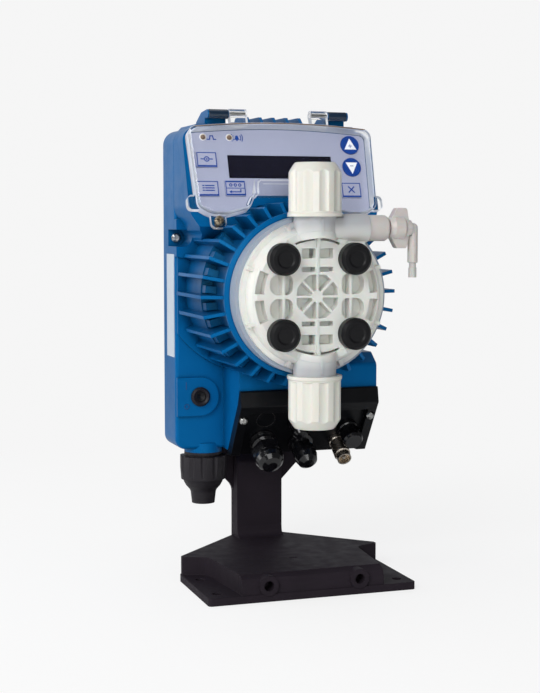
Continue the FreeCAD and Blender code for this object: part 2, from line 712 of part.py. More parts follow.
def make_fins():
    """Ring of cooling fins, with a small block between each two at the drum's step."""
    root = DRUM_R - 1.5
    step = prism_z(sharp([
        (root, DRUM_STEP_Y - 8.0), (FIN_BLOCK_R, DRUM_STEP_Y - 6.0), (FIN_BLOCK_R, DRUM_STEP_Y + 0.5),
        (root, DRUM_STEP_Y + 0.5)]), -FIN_BLOCK_WIDTH / 2, FIN_BLOCK_WIDTH / 2)
    ring = []
    for i in range(FIN_COUNT):
        angle = i * 360.0 / FIN_COUNT
        across = math.cos(math.radians(angle)) / FIN_SIDE_R
        upward = math.sin(math.radians(angle)) / FIN_TOP_R
        tip = 1 / math.hypot(across, upward)
        fin = prism_z(sharp([
            (root, FIN_ROOT_Y), (DRUM_R, FIN_ROOT_Y), (tip, FIN_KINK_Y), (tip, FIN_END_Y),
            (DRUM_STEP_R, BOX_FRONT + 0.5), (root, BOX_FRONT + 0.5)]), -FIN_THICK / 2, FIN_THICK / 2)
        for shape, offset in ((fin, 0), (step.copy(), 180.0 / FIN_COUNT)):
            shape.Placement = FreeCAD.Placement(vec(0, 0, AXIS_Z), FreeCAD.Rotation(Y_AXIS, angle + offset))
            ring.append(shape)
    return ring


def make_collar():
    """Low oval plinth round the drum on the front of the box."""
    oval = Part.Wire(Part.Ellipse(vec(0, AXIS_Z, 0), COLLAR_SIDE_R, COLLAR_TOP_R).toShape())
    plinth = prism_y(oval, BOX_FRONT - COLLAR_RAISE, BOX_FRONT + 0.5)
    return plinth.common(block(1.0 - HALF_WIDTH, HALF_WIDTH - 1.0, 0, BIG, BLOCK_TOP - 20.0, MODULE_BOTTOM + 5.0))


def block_profile(shift):
    """Lower block seen from the side; shift moves its sloping face into the block."""
    slope = math.atan2(CONNECTOR_LIP_Z - CONNECTOR_LOW_Z, CONNECTOR_LOW_Y - CONNECTOR_LIP_Y)
    dy = shift * math.sin(slope)
    dz = shift * math.cos(slope)
    return (CONNECTOR_LIP_Y + dy, CONNECTOR_LIP_Z + dz), (CONNECTOR_LOW_Y + dy, CONNECTOR_LOW_Z + dz)


def make_lower_block():
    lip, low = block_profile(CONNECTOR_THICK)
    slope_foot = low[0] + (low[1] - HOUSING_BOTTOM) * (low[0] - lip[0]) / (lip[1] - low[1])
    face = rounded([
        (BOX_FRONT + 0.5, HOUSING_BOTTOM, 0), (slope_foot, HOUSING_BOTTOM, 0), (lip[0], lip[1], 0),
        (BLOCK_FRONT, CONNECTOR_TOP, 0), (BLOCK_FRONT, BLOCK_TOP - 6.0, 3), (BLOCK_FRONT + 8.0, BLOCK_TOP, 3),
        (BOX_FRONT + 0.5, BLOCK_TOP, 0)])
    return prism_x(face, BLOCK_LEFT, HALF_WIDTH)


def make_front_casing():
    box = prism_y(housing_outline(), BOX_FRONT, SEAM_Y)
    front_edges = [edge for edge in box.Edges
                   if abs(edge.BoundBox.YMin - BOX_FRONT) < 1e-4 and abs(edge.BoundBox.YMax - BOX_FRONT) < 1e-4]
    box = box.makeFillet(EDGE_ROUND, front_edges)
    drum = turned([
        (0, DRUM_FRONT), (RING_R - 2.0, DRUM_FRONT), (RING_R, DRUM_FRONT + 1.0), (RING_R, DRUM_FRONT + RING_DEPTH),
        (DRUM_R, DRUM_FRONT + RING_DEPTH + 1.0), (DRUM_R, DRUM_STEP_Y), (DRUM_STEP_R, DRUM_STEP_Y + 1.0),
        (DRUM_STEP_R, BOX_FRONT + 0.5), (0, BOX_FRONT + 0.5)], vec(0, 0, AXIS_Z), Y_AXIS)
    pad_left = 0.6 - HALF_WIDTH
    pad = prism_y(rounded([
        (pad_left, SWITCH_Z - SWITCH_PAD_R, 0), (SWITCH_X, SWITCH_Z - SWITCH_PAD_R, 0),
        (SWITCH_X + SWITCH_PAD_R, SWITCH_Z - SWITCH_PAD_R, SWITCH_PAD_R - 0.2),
        (SWITCH_X + SWITCH_PAD_R, SWITCH_Z + SWITCH_PAD_R, SWITCH_PAD_R - 0.2),
        (SWITCH_X, SWITCH_Z + SWITCH_PAD_R, 0), (pad_left, SWITCH_Z + SWITCH_PAD_R, 0)]),
        BOX_FRONT - SWITCH_PAD_RAISE, BOX_FRONT + 2.5)
    neck = rod(GLAND_NECK_R, vec(GLAND_X, GLAND_Y, HOUSING_BOTTOM - GLAND_NECK_DROP), Z_AXIS,
               GLAND_NECK_DROP + WALL)
    collars = [rod(NOTCH_COLLAR_R, vec(side * NOTCH_X, BOX_FRONT - 3.5, NOTCH_Z), Y_AXIS, 5.0)
               for side in (-1, 1)]
    trim = block(-HALF_WIDTH, HALF_WIDTH, -BIG, BIG, 0, BIG)
    body = fused([box, make_panel_housing()] + [collar.common(trim) for collar in collars])
    solid = fused([less(body, screw_notches()), drum, make_collar().cut(fused(screw_notches())), make_lower_block(),
                   pad, neck] + make_fins() + make_rail())
    return less(solid, casing_cavities() + casing_openings())


def screw_notches():
    """Notches in the box's sides, open to the front, that the two casing screws sit in."""
    cuts = []
    for side in (-1, 1):
        low, high = sorted((side * NOTCH_X, side * BIG))
        cuts.append(rod(NOTCH_R, vec(side * NOTCH_X, 0, NOTCH_Z), Y_AXIS, NOTCH_FLOOR_Y))
        cuts.append(block(low, high, 0, NOTCH_FLOOR_Y, NOTCH_Z - NOTCH_R, NOTCH_Z + NOTCH_R))
    return cuts


def casing_cavities():
    inner_box = prism_y(inset(housing_outline(), WALL), BOX_FRONT + WALL, SEAM_Y + 1)
    bore = rod(DRUM_BORE_R, vec(0, POLE_FRONT, AXIS_Z), Y_AXIS, BOX_FRONT + WALL + 1 - POLE_FRONT)
    posts = []
    for x, z in case_screw_places():
        reach = NOTCH_R + WALL
        side = 1 if x > 0 else -1
        low, high = sorted((side * (NOTCH_X - reach), side * BIG))
        posts.append(block(low, high, BOX_FRONT, NOTCH_FLOOR_Y + WALL, z - reach, z + reach))
    inner_box = less(inner_box, posts)
    panel_room = block(-HALF_WIDTH + WALL, HALF_WIDTH - WALL, 0, BOX_FRONT + WALL + 1,
                       DRUM_STEP_R + AXIS_Z - 4.0, HOUSING_TOP - WALL)
    panel_room = less(panel_room, [ahead_of_panel(PANEL_FRONT - PANEL_WALL)])
    lip, low = block_profile(CONNECTOR_THICK + WALL)
    wire_room = prism_x(sharp([
        (BOX_FRONT + WALL + 1, HOUSING_BOTTOM + WALL), (low[0], HOUSING_BOTTOM + WALL), (lip[0], lip[1]),
        (BLOCK_FRONT + WALL, CONNECTOR_TOP + 1.0), (BOX_FRONT + WALL + 1, CONNECTOR_TOP + 1.0)]),
        BLOCK_LEFT + WALL, HALF_WIDTH - WALL)
    return [inner_box, bore, panel_room, wire_room]


def casing_openings():
    cuts = [seal_groove(SEAM_Y - SEAL_DEPTH, SEAM_Y + 1)]
    cuts.append(rod(BUSH_R + 6.0, vec(0, DRUM_FRONT - 1, AXIS_Z), Y_AXIS, DRUM_FRONT_WALL + 2))
    for sx in (-1, 1):
        for sz in (-1, 1):
            place = vec(sx * BOLT_OFFSET, DRUM_FRONT - 1, AXIS_Z + sz * BOLT_OFFSET)
            cuts.append(rod(BOLT_R + 0.05, place, Y_AXIS, DRUM_FRONT_WALL + 1))
    for x, z in case_screw_places():
        cuts.append(rod(CASE_SCREW_R + 0.1, vec(x, NOTCH_FLOOR_Y - 1.0, z), Y_AXIS, BIG))
    cuts.append(rod(SWITCH_BEZEL_R - 0.9, vec(SWITCH_X, 0, SWITCH_Z), Y_AXIS, BOX_FRONT + WALL + 1))
    cuts.append(rod(GLAND_STEM_R, vec(GLAND_X, GLAND_Y, 0), Z_AXIS, HOUSING_BOTTOM + WALL + 1))
    for side in (-1, 1):
        start = vec(side * HOOK_OUTER_X, HINGE_Y, HINGE_Z)
        cuts.append(rod(HINGE_PIN_R, start, X_AXIS * side, HINGE_PIN_END_X + 0.05 - HOOK_OUTER_X))
    cuts.append(panel_prism(inset(cover_outline(), MEMBRANE_MARGIN - 0.2), PANEL_FRONT - MEMBRANE_THICK, BIG))
    cuts += [panel_prism(box_wire(*size), PANEL_FRONT - PANEL_WALL - 1, BIG) for size in key_holes()]
    for x, u in SQUARE_KEYS.values():
        cuts.append(panel_prism(square_key_wire(x, u, KEY_PLAY), PANEL_FRONT - MEMBRANE_THICK, BIG))
    cuts.append(panel_prism(display_wire(0.2), PANEL_FRONT - PANEL_WALL - 1, BIG))
    for x, u in LED_PLACES:
        cuts.append(panel_prism(disc_wire(x, u, LED_R + 0.1), PANEL_FRONT - PANEL_WALL - 1, BIG))
    cuts.append(panel_prism(inset(cover_outline(), -COVER_CLEARANCE), PANEL_FRONT, COVER_SWING))
    for side in (-1, 1):
        start = on_panel(side * LOBE_X, COVER_SCREW_U, PANEL_FRONT - 8.0)
        cuts.append(rod(COVER_SCREW_R - 0.5 + COVER_CLEARANCE, start, PANEL_OUT, BIG / 4))
        cuts.append(panel_prism(ear_outline(side, COVER_CLEARANCE), PANEL_FRONT, COVER_SWING))
    return cuts


# Front panel

def display_wire(play):
    x0, x1, u0, u1 = DISPLAY
    return box_wire(x0 - play, x1 + play, u0 - play, u1 + play)


def key_places():
    return list(SQUARE_KEYS.values()) + list(ROUND_KEYS.values())


def key_holes():
    half = KEY_STEM / 2 + KEY_PLAY
    return [(x - half, x + half, u - half, u + half) for x, u in key_places()]


def square_key_wire(x, u, play):
    return box_wire(x - KEY_WIDTH / 2 - play, x + KEY_WIDTH / 2 + play,
                    u - KEY_HEIGHT / 2 - play, u + KEY_HEIGHT / 2 + play, 0.6 + play)


def make_membrane():
    sheet = panel_prism(inset(cover_outline(), MEMBRANE_MARGIN), PANEL_FRONT - MEMBRANE_THICK, PANEL_FRONT)
    cuts = [panel_prism(display_wire(0), -BIG, BIG)]
    for x, u in SQUARE_KEYS.values():
        cuts.append(panel_prism(square_key_wire(x, u, KEY_PLAY), -BIG, BIG))
    for x, u in ROUND_KEYS.values():
        cuts.append(panel_prism(disc_wire(x, u, KEY_ROUND_R + KEY_PLAY), -BIG, BIG))
    for x, u in LED_PLACES:
        cuts.append(panel_prism(disc_wire(x, u, LED_R + 0.1), -BIG, BIG))
    return less(sheet, cuts)


def make_key(x, u, wire):
    """Key pad with its stem, a little proud of the membrane and clear of the wall by its travel."""
    pad = panel_prism(wire, PANEL_FRONT - MEMBRANE_THICK + KEY_TRAVEL + 0.1, PANEL_FRONT + KEY_PROUD)
    half = KEY_STEM / 2
    stem = panel_prism(box_wire(x - half, x + half, u - half, u + half), BOARD_FRONT + KEY_TRAVEL + 0.25,
                       PANEL_FRONT + 0.1)
    return fused([pad, stem])


def make_board():
    """Display board on its pillars, with a contact dome under each key."""
    board = panel_prism(box_wire(-BOARD_HALF_WIDTH, BOARD_HALF_WIDTH, BOARD_LOW, BOARD_HIGH), BOARD_FRONT - BOARD_THICK, BOARD_FRONT)
    bay = panel_prism(display_wire(0.3), BOARD_FRONT - BOARD_THICK - 1, BOARD_FRONT + 1)
    parts = [board.cut(bay)]
    for x, u in key_places():
        parts.append(panel_prism(disc_wire(x, u, 2.4), BOARD_FRONT - 0.2, BOARD_FRONT + 0.2))
    for x, u in PILLARS:
        parts.append(panel_prism(disc_wire(x, u, 1.3), BOARD_FRONT - 0.1, PANEL_FRONT - PANEL_WALL))
    return fused(parts)


def make_display():
    """Display window in the membrane with its glass cell behind."""
    window = panel_prism(display_wire(0), PANEL_FRONT - 1.2, PANEL_FRONT - 0.1)
    cell = panel_prism(display_wire(0), BOARD_FRONT - BOARD_THICK, PANEL_FRONT - 1.1)
    return fused([window, cell])


def make_led(x, u):
    lens = Part.makeSphere(LED_R, on_panel(x, u, PANEL_FRONT + 0.1))
    body = panel_prism(disc_wire(x, u, LED_R), BOARD_FRONT, PANEL_FRONT + 0.1)
    return fused([lens.common(panel_prism(disc_wire(x, u, LED_R + 1), PANEL_FRONT, BIG)), body])


def ear_outline(side, play):
    """Outline of the screw ear under a lobe of the clear cover."""
    left = side * LOBE_X - EAR_HALF_WIDTH - play
    right = side * LOBE_X + EAR_HALF_WIDTH + play
    low = COVER_SCREW_U - EAR_END_R - play
    high = LOBE_BOTTOM + 2.0
    return rounded([(left, low, 3), (right, low, 3), (right, high, 0), (left, high, 0)])


def make_panel_cover():
    outline = cover_outline()
    lid = panel_prism(outline, PANEL_FRONT + 0.05, 0)
    front_edges = []
    for edge in lid.Edges:
        offsets = [(vertex.Point - on_panel(0, 0, 0)).dot(PANEL_OUT) for vertex in edge.Vertexes]
        if offsets and max(abs(offset) for offset in offsets) < 1e-4:
            front_edges.append(edge)
    lid = lid.makeFillet(COVER_EDGE_R, front_edges)
    hollow = panel_prism(inset(outline, COVER_WALL), PANEL_FRONT - 1, -COVER_WALL).cut(notch_wedge(COVER_WALL))
    ears = [panel_prism(ear_outline(side, 0), PANEL_FRONT + 0.05, PANEL_FRONT + EAR_THICK) for side in (-1, 1)]
    hinge_u = (HINGE_Y - PANEL_FOOT_Y) * math.sin(LEAN) + (HINGE_Z - PANEL_FOOT_Z) * math.cos(LEAN)
    hinge_n = -(HINGE_Y - PANEL_FOOT_Y) * math.cos(LEAN) + (HINGE_Z - PANEL_FOOT_Z) * math.sin(LEAN)
    hooks = []
    for side in (-1, 1):
        low, high = sorted((side * HOOK_INNER_X, side * HOOK_OUTER_X))
        hooks.append(rod(HOOK_R, vec(low, HINGE_Y, HINGE_Z), X_AXIS, high - low))
        hooks.append(panel_prism(box_wire(low, high, COVER_ARCH - 2.2, hinge_u), hinge_n - 2.4, hinge_n + 2.4))
    tabs = []
    for side in (-1, 1):
        low, high = sorted((side * (COVER_LOW_HALF_WIDTH - 4.0), side * TAB_REACH))
        tabs.append(panel_prism(box_wire(low, high, TAB_BOTTOM, TAB_TOP, TAB_CORNER), PANEL_FRONT + 0.05,
                                PANEL_FRONT + TAB_THICK))
    tabs = [tab.cut(panel_prism(inset(outline, COVER_WALL / 2), PANEL_FRONT - 1, 1)) for tab in tabs]
    solid = fused([less(lid, [hollow, notch_wedge(0)])] + ears + hooks + tabs)
    cuts = [rod(HINGE_PIN_R + HINGE_PLAY, vec(-HOOK_OUTER_X - 1, HINGE_Y, HINGE_Z), X_AXIS, 2 * HOOK_OUTER_X + 2)]
    for side in (-1, 1):
        cuts.append(rod(COVER_SCREW_R - 0.4, on_panel(side * LOBE_X, COVER_SCREW_U, PANEL_FRONT - 1), PANEL_OUT, 9))
        cuts.append(rod(COVER_SCREW_R + 0.8, on_panel(side * LOBE_X, COVER_SCREW_U, PANEL_FRONT + EAR_THICK),
                        PANEL_OUT, 9))
    return less(solid, cuts)


def make_cover_screw(side):
    """Knurled-head screw that holds the cover's lobe, with a cross slot."""
    seat = on_panel(side * LOBE_X, COVER_SCREW_U, PANEL_FRONT + EAR_THICK)
    head = turned([(0, 0), (COVER_SCREW_R + 0.6, 0), (COVER_SCREW_R + 0.6, 1.6), (COVER_SCREW_R - 0.4, 2.4),
                   (0, 2.4)], seat, PANEL_OUT)
    shank = rod(COVER_SCREW_R - 0.5, seat - PANEL_OUT * COVER_SCREW_REACH, PANEL_OUT, COVER_SCREW_REACH + 0.5)
    slot = panel_prism(box_wire(side * LOBE_X - 0.4, side * LOBE_X + 0.4, COVER_SCREW_U - 1.9, COVER_SCREW_U + 1.9),
                       PANEL_FRONT + 4.6, PANEL_FRONT + 9)
    return fused([head, shank]).cut(slot)


def make_hinge_pin(side):
    inner = HOOK_INNER_X + 0.5
    return rod(HINGE_PIN_R, vec(side * inner, HINGE_Y, HINGE_Z), X_AXIS * side, HINGE_PIN_END_X - inner)


# Switch, label and screws of the casing

def make_switch_bezel():
    front = BOX_FRONT - SWITCH_PAD_RAISE
    profile = [
        (SWITCH_BUTTON_R + SWITCH_PLAY, 5.2), (SWITCH_BUTTON_R + SWITCH_PLAY, -1.4), (SWITCH_BEZEL_R - 1.0, -2.2),
        (SWITCH_BEZEL_R, -1.2), (SWITCH_BEZEL_R, 0), (SWITCH_BEZEL_R - 1.0, 0), (SWITCH_BEZEL_R - 1.0, 5.2)]
    ring = turned(profile, vec(SWITCH_X, front, SWITCH_Z), Y_AXIS)
    body = block(SWITCH_X - 6, SWITCH_X + 6, front + 5.2, front + 13.0, SWITCH_Z - 6, SWITCH_Z + 6)
    well = rod(SWITCH_BUTTON_R + SWITCH_PLAY, vec(SWITCH_X, front, SWITCH_Z), Y_AXIS, 8.2)
    return fused([ring, body.cut(well)])


def make_switch_button():
    front = BOX_FRONT - SWITCH_PAD_RAISE
    return turned([
        (0, 5.8), (0, -0.2), (SWITCH_BUTTON_R * 0.7, -0.9), (SWITCH_BUTTON_R - 0.2, -1.1), (SWITCH_BUTTON_R, -0.8),
        (SWITCH_BUTTON_R, 5.8)], vec(SWITCH_X, front, SWITCH_Z), Y_AXIS)


def make_case_screw(x, z):
    head = turned([(0, 0), (CASE_SCREW_HEAD_R, 0), (CASE_SCREW_HEAD_R, -1.2), (CASE_SCREW_HEAD_R - 1.0, -2.0),
                   (0, -2.0)], vec(x, NOTCH_FLOOR_Y, z), Y_AXIS)
    shank = rod(CASE_SCREW_R, vec(x, NOTCH_FLOOR_Y - 0.5, z), Y_AXIS, CASE_SCREW_LENGTH)
    slot = block(x - 0.4, x + 0.4, 0, NOTCH_FLOOR_Y - 1.3, z - 1.8, z + 1.8)
    return fused([head, shank]).cut(slot)


def make_label():
    middle = (BOX_FRONT + SEAM_Y) / 2 + 0.6
    return block(-HALF_WIDTH - LABEL_THICK, -HALF_WIDTH, middle - LABEL_WIDTH / 2, middle + LABEL_WIDTH / 2,
                 LABEL_BOTTOM, LABEL_TOP)


# Connector cover and fittings

def on_connector(x, down, out):
    """Point on the cover's sloping tray floor: down the slope from the lip, out along its normal."""
    y = CONNECTOR_LIP_Y + down * math.cos(CONNECTOR_SLOPE)
    z = CONNECTOR_LIP_Z - down * math.sin(CONNECTOR_SLOPE)
    return vec(x, y, z) + CONNECTOR_OUT * (out - TRAY_DEPTH)


def make_connector_cover():
    right = HALF_WIDTH
    lip, low = block_profile(CONNECTOR_THICK - 0.1)
    foot = low[0] + (low[1] - CONNECTOR_LOW_Z) * (low[0] - lip[0]) / (lip[1] - low[1])
    shell = prism_x(rounded([
        (BLOCK_FRONT - 0.1, CONNECTOR_TOP, 0), (CONNECTOR_RIDGE_Y + 1.6, CONNECTOR_TOP, 1.0),
        (CONNECTOR_RIDGE_Y, CONNECTOR_RIDGE_Z, 1.0), (CONNECTOR_LIP_Y, CONNECTOR_LIP_Z, 0),
        (CONNECTOR_LOW_Y, CONNECTOR_LOW_Z, 1.0), (foot, CONNECTOR_LOW_Z, 0),
        (lip[0], lip[1], 0)]), BLOCK_LEFT, right)
    tray_top, tray_low = block_profile(TRAY_DEPTH)
    down = (CONNECTOR_LOW_Y - CONNECTOR_LIP_Y, CONNECTOR_LOW_Z - CONNECTOR_LIP_Z)
    tray = prism_x(sharp([
        (CONNECTOR_LIP_Y + down[0] * 0.06, CONNECTOR_LIP_Z + down[1] * 0.06),
        (CONNECTOR_LIP_Y + down[0] * 0.06 - BIG * 0.1, CONNECTOR_LIP_Z + down[1] * 0.06 - BIG * 0.068),
        (CONNECTOR_LOW_Y + down[0] * 0.2 - BIG * 0.1, CONNECTOR_LOW_Z + down[1] * 0.2 - BIG * 0.068),
        (tray_low[0] + down[0] * 0.2, tray_low[1] + down[1] * 0.2),
        (tray_top[0] + down[0] * 0.06, tray_top[1] + down[1] * 0.06)]),
        BLOCK_LEFT + TRAY_MARGIN, right - TRAY_MARGIN)
    solid = less(shell, [tray])
    cuts = []
    for x in (BLOCK_LEFT + CONNECTOR_SCREW_INSET, right - CONNECTOR_SCREW_INSET):
        cuts.append(rod(1.6, vec(x, 0, CONNECTOR_SCREW_Z), Y_AXIS, BIG / 4))
        cuts.append(rod(2.4, vec(x, 0, CONNECTOR_SCREW_Z), Y_AXIS, CONNECTOR_LIP_Y + 4.6))
    for x, down_slope, radius in PORTS.values():
        cuts.append(rod(radius, on_connector(x, down_slope, -8.0), CONNECTOR_OUT, 12.0))
    return less(solid, cuts)


def make_connector_screws():
    screws = []
    for x in (BLOCK_LEFT + CONNECTOR_SCREW_INSET, HALF_WIDTH - CONNECTOR_SCREW_INSET):
        seat = vec(x, CONNECTOR_LIP_Y + 4.6, CONNECTOR_SCREW_Z)
        head = turned([(0, 0), (2.2, 0), (2.2, -1.2), (1.3, -2.0), (0, -2.0)], seat, Y_AXIS)
        shank = rod(1.5, seat - Y_AXIS * 0.5, Y_AXIS, 5.0)
        slot = block(x - 0.35, x + 0.35, 0, seat.y - 1.3, CONNECTOR_SCREW_Z - 1.7, CONNECTOR_SCREW_Z + 1.7)
        screws.append(fused([head, shank]).cut(slot))
    return screws


def fitting(name, profile):
    """Turned fitting screwed through the connector cover; distances run out from the tray floor."""
    x, down_slope, radius = PORTS[name]
    return turned(profile, on_connector(x, down_slope, 0), CONNECTOR_OUT)


def make_signal_gland():
    radius = PORTS["gland"][2] - 0.05
    return fitting("gland", [
        (0, -2.4), (radius, -2.4), (radius, 0), (7.2, 0), (7.2, 1.6), (6.0, 1.6), (6.0, 4.0), (6.6, 4.6),
        (6.0, 5.2), (6.6, 5.8), (6.0, 6.4), (6.0, 8.0), (0, 8.0)])


def make_signal_gland_nut():
    """Hexagon nut with a domed, closed end."""
    x, down_slope, radius = PORTS["gland"]
    base = on_connector(x, down_slope, 8.2)
    hexagon = Part.makePolygon([vec(8.6 * math.cos(i * math.pi / 3), 8.6 * math.sin(i * math.pi / 3), 0)
                                for i in range(7)])
    nut = Part.Face(hexagon).extrude(vec(0, 0, 6.0))
    nut.Placement = FreeCAD.Placement(base, FreeCAD.Rotation(Z_AXIS, CONNECTOR_OUT))
    dome = turned([(0, 5.8), (7.8, 5.8), (7.8, 8.0), (7.0, 10.6), (5.2, 12.6), (2.8, 13.8), (0, 14.2)],
                  base, CONNECTOR_OUT)
    return fused([nut, dome])


def make_port_caps():
    low = fitting("low_cap", [
        (0, -2.4), (4.35, -2.4), (4.35, 0), (7.0, 0), (7.0, 2.4), (5.2, 3.0), (5.2, 7.0), (6.4, 7.6), (6.4, 13.0),
        (5.4, 16.6), (3.0, 18.8), (0, 19.4)])
    high = fitting("high_cap", [
        (0, -2.4), (3.35, -2.4), (3.35, 0), (5.0, 0), (5.0, 2.0), (3.6, 2.6), (3.6, 6.0), (4.4, 6.6), (4.4, 10.0),
        (3.2, 12.0), (0, 12.6)])
    side = fitting("side_cap", [
        (0, -2.4), (4.35, -2.4), (4.35, 0), (5.6, 0), (5.6, 3.0), (5.0, 3.6), (5.0, 5.0), (5.8, 5.6), (5.8, 12.0),
        (4.8, 13.4), (0, 13.4)])
    return [low, high, side]


def make_probe_socket():
    return fitting("probe", [
        (0, -2.4), (3.35, -2.4), (3.35, 0), (4.6, 0), (4.6, 2.0), (4.2, 2.6), (4.2, 7.0), (4.6, 7.4), (4.6, 12.0),
        (4.0, 12.4), (4.0, 16.0), (3.2, 16.0), (3.2, 11.0), (1.0, 11.0), (1.0, 15.0), (0, 15.0)])


# Mains gland

def make_gland_body():
    top = HOUSING_BOTTOM - GLAND_NECK_DROP
    inner_end = HOUSING_BOTTOM + WALL + 5.0
    return turned([
        (GLAND_BODY_BORE_R, GLAND_BODY_END), (GLAND_THREAD_R, GLAND_BODY_END), (GLAND_THREAD_R, top - 1.4),
        (GLAND_NECK_R, top - 1.4), (GLAND_NECK_R, top), (GLAND_STEM_R, top), (GLAND_STEM_R, inner_end),
        (GLAND_BODY_BORE_R, inner_end)], vec(GLAND_X, GLAND_Y, 0), Z_AXIS)


def make_gland_seal():
    """Rubber sealing sleeve between the body and the nut's cone."""
    top = GLAND_BODY_END - 0.2
    return turned([
        (GLAND_SEAL_BORE_R, GLAND_CONE_END + 0.2), (6.2, GLAND_CONE_END + 0.2), (8.6, top - 2.8), (8.6, top),
        (GLAND_SEAL_BORE_R, top)], vec(GLAND_X, GLAND_Y, 0), Z_AXIS)


def make_gland_nut():
    body = turned([
        (GLAND_BORE_R, GLAND_NUT_END), (GLAND_END_R, GLAND_NUT_END), (7.1, 43.0), (7.7, 44.4), (9.6, 46.5),
        (10.7, 48.4), (11.3, 50.2), (GLAND_NUT_R - 0.6, GLAND_NUT_STEP),
        (GLAND_NUT_R, GLAND_NUT_TOP - 8.0), (GLAND_NUT_R, GLAND_NUT_TOP - 1.8),
        (GLAND_NECK_R + 0.4, GLAND_NUT_TOP - 1.8),
        (GLAND_THREAD_R + NUT_PLAY, GLAND_NUT_TOP - 1.8), (GLAND_THREAD_R + NUT_PLAY, GLAND_CONE_END + 3.2),
        (6.4, GLAND_CONE_END), (GLAND_BORE_R, GLAND_CONE_END)],
        vec(GLAND_X, GLAND_Y, 0), Z_AXIS)
    grooves = []
    for i in range(12):
        angle = math.radians(15 + 30 * i)
        place = vec(GLAND_X + (GLAND_NUT_R + 1.3) * math.cos(angle), GLAND_Y + (GLAND_NUT_R + 1.3) * math.sin(angle),
                    GLAND_NUT_STEP + 1.4)
        grooves.append(rod(2.1, place, Z_AXIS, BIG / 8))
    return less(body, grooves)


# Pump head, valves and bleed valve

def head_prism(wire, depth):
    """Cutter from the head's front face to the given depth; the wire is centred on the head's axis."""
    solid = prism_y(wire, HEAD_FRONT - 1, HEAD_FRONT + depth)
    solid.translate(vec(0, 0, AXIS_Z))
    return solid


def ring_sector(inner, outer, start, end):
    """Closed outline between two radii and two angles in degrees."""
    def at(radius, angle):
        return vec(radius * math.cos(math.radians(angle)), radius * math.sin(math.radians(angle)), 0)
    middle = (start + end) / 2
    edges = [
        Part.Arc(at(outer, start), at(outer, middle), at(outer, end)).toShape(),
        Part.LineSegment(at(outer, end), at(inner, end)).toShape(),
        Part.Arc(at(inner, end), at(inner, middle), at(inner, start)).toShape(),
        Part.LineSegment(at(inner, start), at(outer, start)).toShape(),
    ]
    return Part.Wire(edges)


def head_pockets():
    """Pockets in the front of the head, which leave its ribs standing."""
    cuts = []
    half_rib = HEAD_RIB / 2
    for i in range(8):
        start = 45.0 * i
        inner, outer = 3.2, 11.2
        gap_in = math.degrees(half_rib * 0.8 / inner)
        gap_out = math.degrees(half_rib * 0.8 / outer)
        wire = sharp([
            (inner * math.cos(math.radians(start + gap_in)), inner * math.sin(math.radians(start + gap_in))),
            (outer * math.cos(math.radians(start + gap_out)), outer * math.sin(math.radians(start + gap_out))),
            (outer * 1.05 * math.cos(math.radians(start + 22.5)), outer * 1.05 * math.sin(math.radians(start + 22.5))),
            (outer * math.cos(math.radians(start + 45 - gap_out)), outer * math.sin(math.radians(start + 45 - gap_out))),
            (inner * math.cos(math.radians(start + 45 - gap_in)), inner * math.sin(math.radians(start + 45 - gap_in)))])
        cuts.append(head_prism(wire, POCKET_DEPTH))
    for side in (-1, 1):
        for up in (-1, 1):
            z0, z1 = sorted((up * (half_rib + 0.2), up * 11.4))
            for x0, x1, outer_end in ((13.2, 17.4, False), (18.8, 25.4, True)):
                low, high = sorted((side * x0, side * x1))
                corners = [(low, z0), (high, z0), (high, z1), (low, z1)]
                rounds = [4.6 if (x == side * x1) == outer_end else 0.3 for x, z in corners]
                if not outer_end:
                    rounds = [3.4 if x == side * x0 else 0.3 for x, z in corners]
                cuts.append(head_prism(rounded([(x, z, r) for (x, z), r in zip(corners, rounds)]), POCKET_DEPTH))
            x0, x1 = sorted((side * (half_rib + 0.4), side * 8.4))
            for low, high in ((12.6, 15.0), (19.4, 24.4)):
                a, b = sorted((up * low, up * high))
                cuts.append(head_prism(box_wire(x0, x1, a, b, 0.6), POCKET_DEPTH))
    for quarter in range(4):
        for start, end in ((3.0, 24.0), (-24.0, -3.0)):
            wire = ring_sector(28.6, 33.2, quarter * 90 + start, quarter * 90 + end)
            cuts.append(head_prism(wire, POCKET_DEPTH))
    return cuts


def valve_tube(outer, inner, start, end):
    low, high = sorted((start, end))
    solid = rod(outer, vec(0, VALVE_Y, low), Z_AXIS, high - low)
    if inner:
        solid = solid.cut(rod(inner, vec(0, VALVE_Y, low - 1), Z_AXIS, high - low + 2))
    return solid


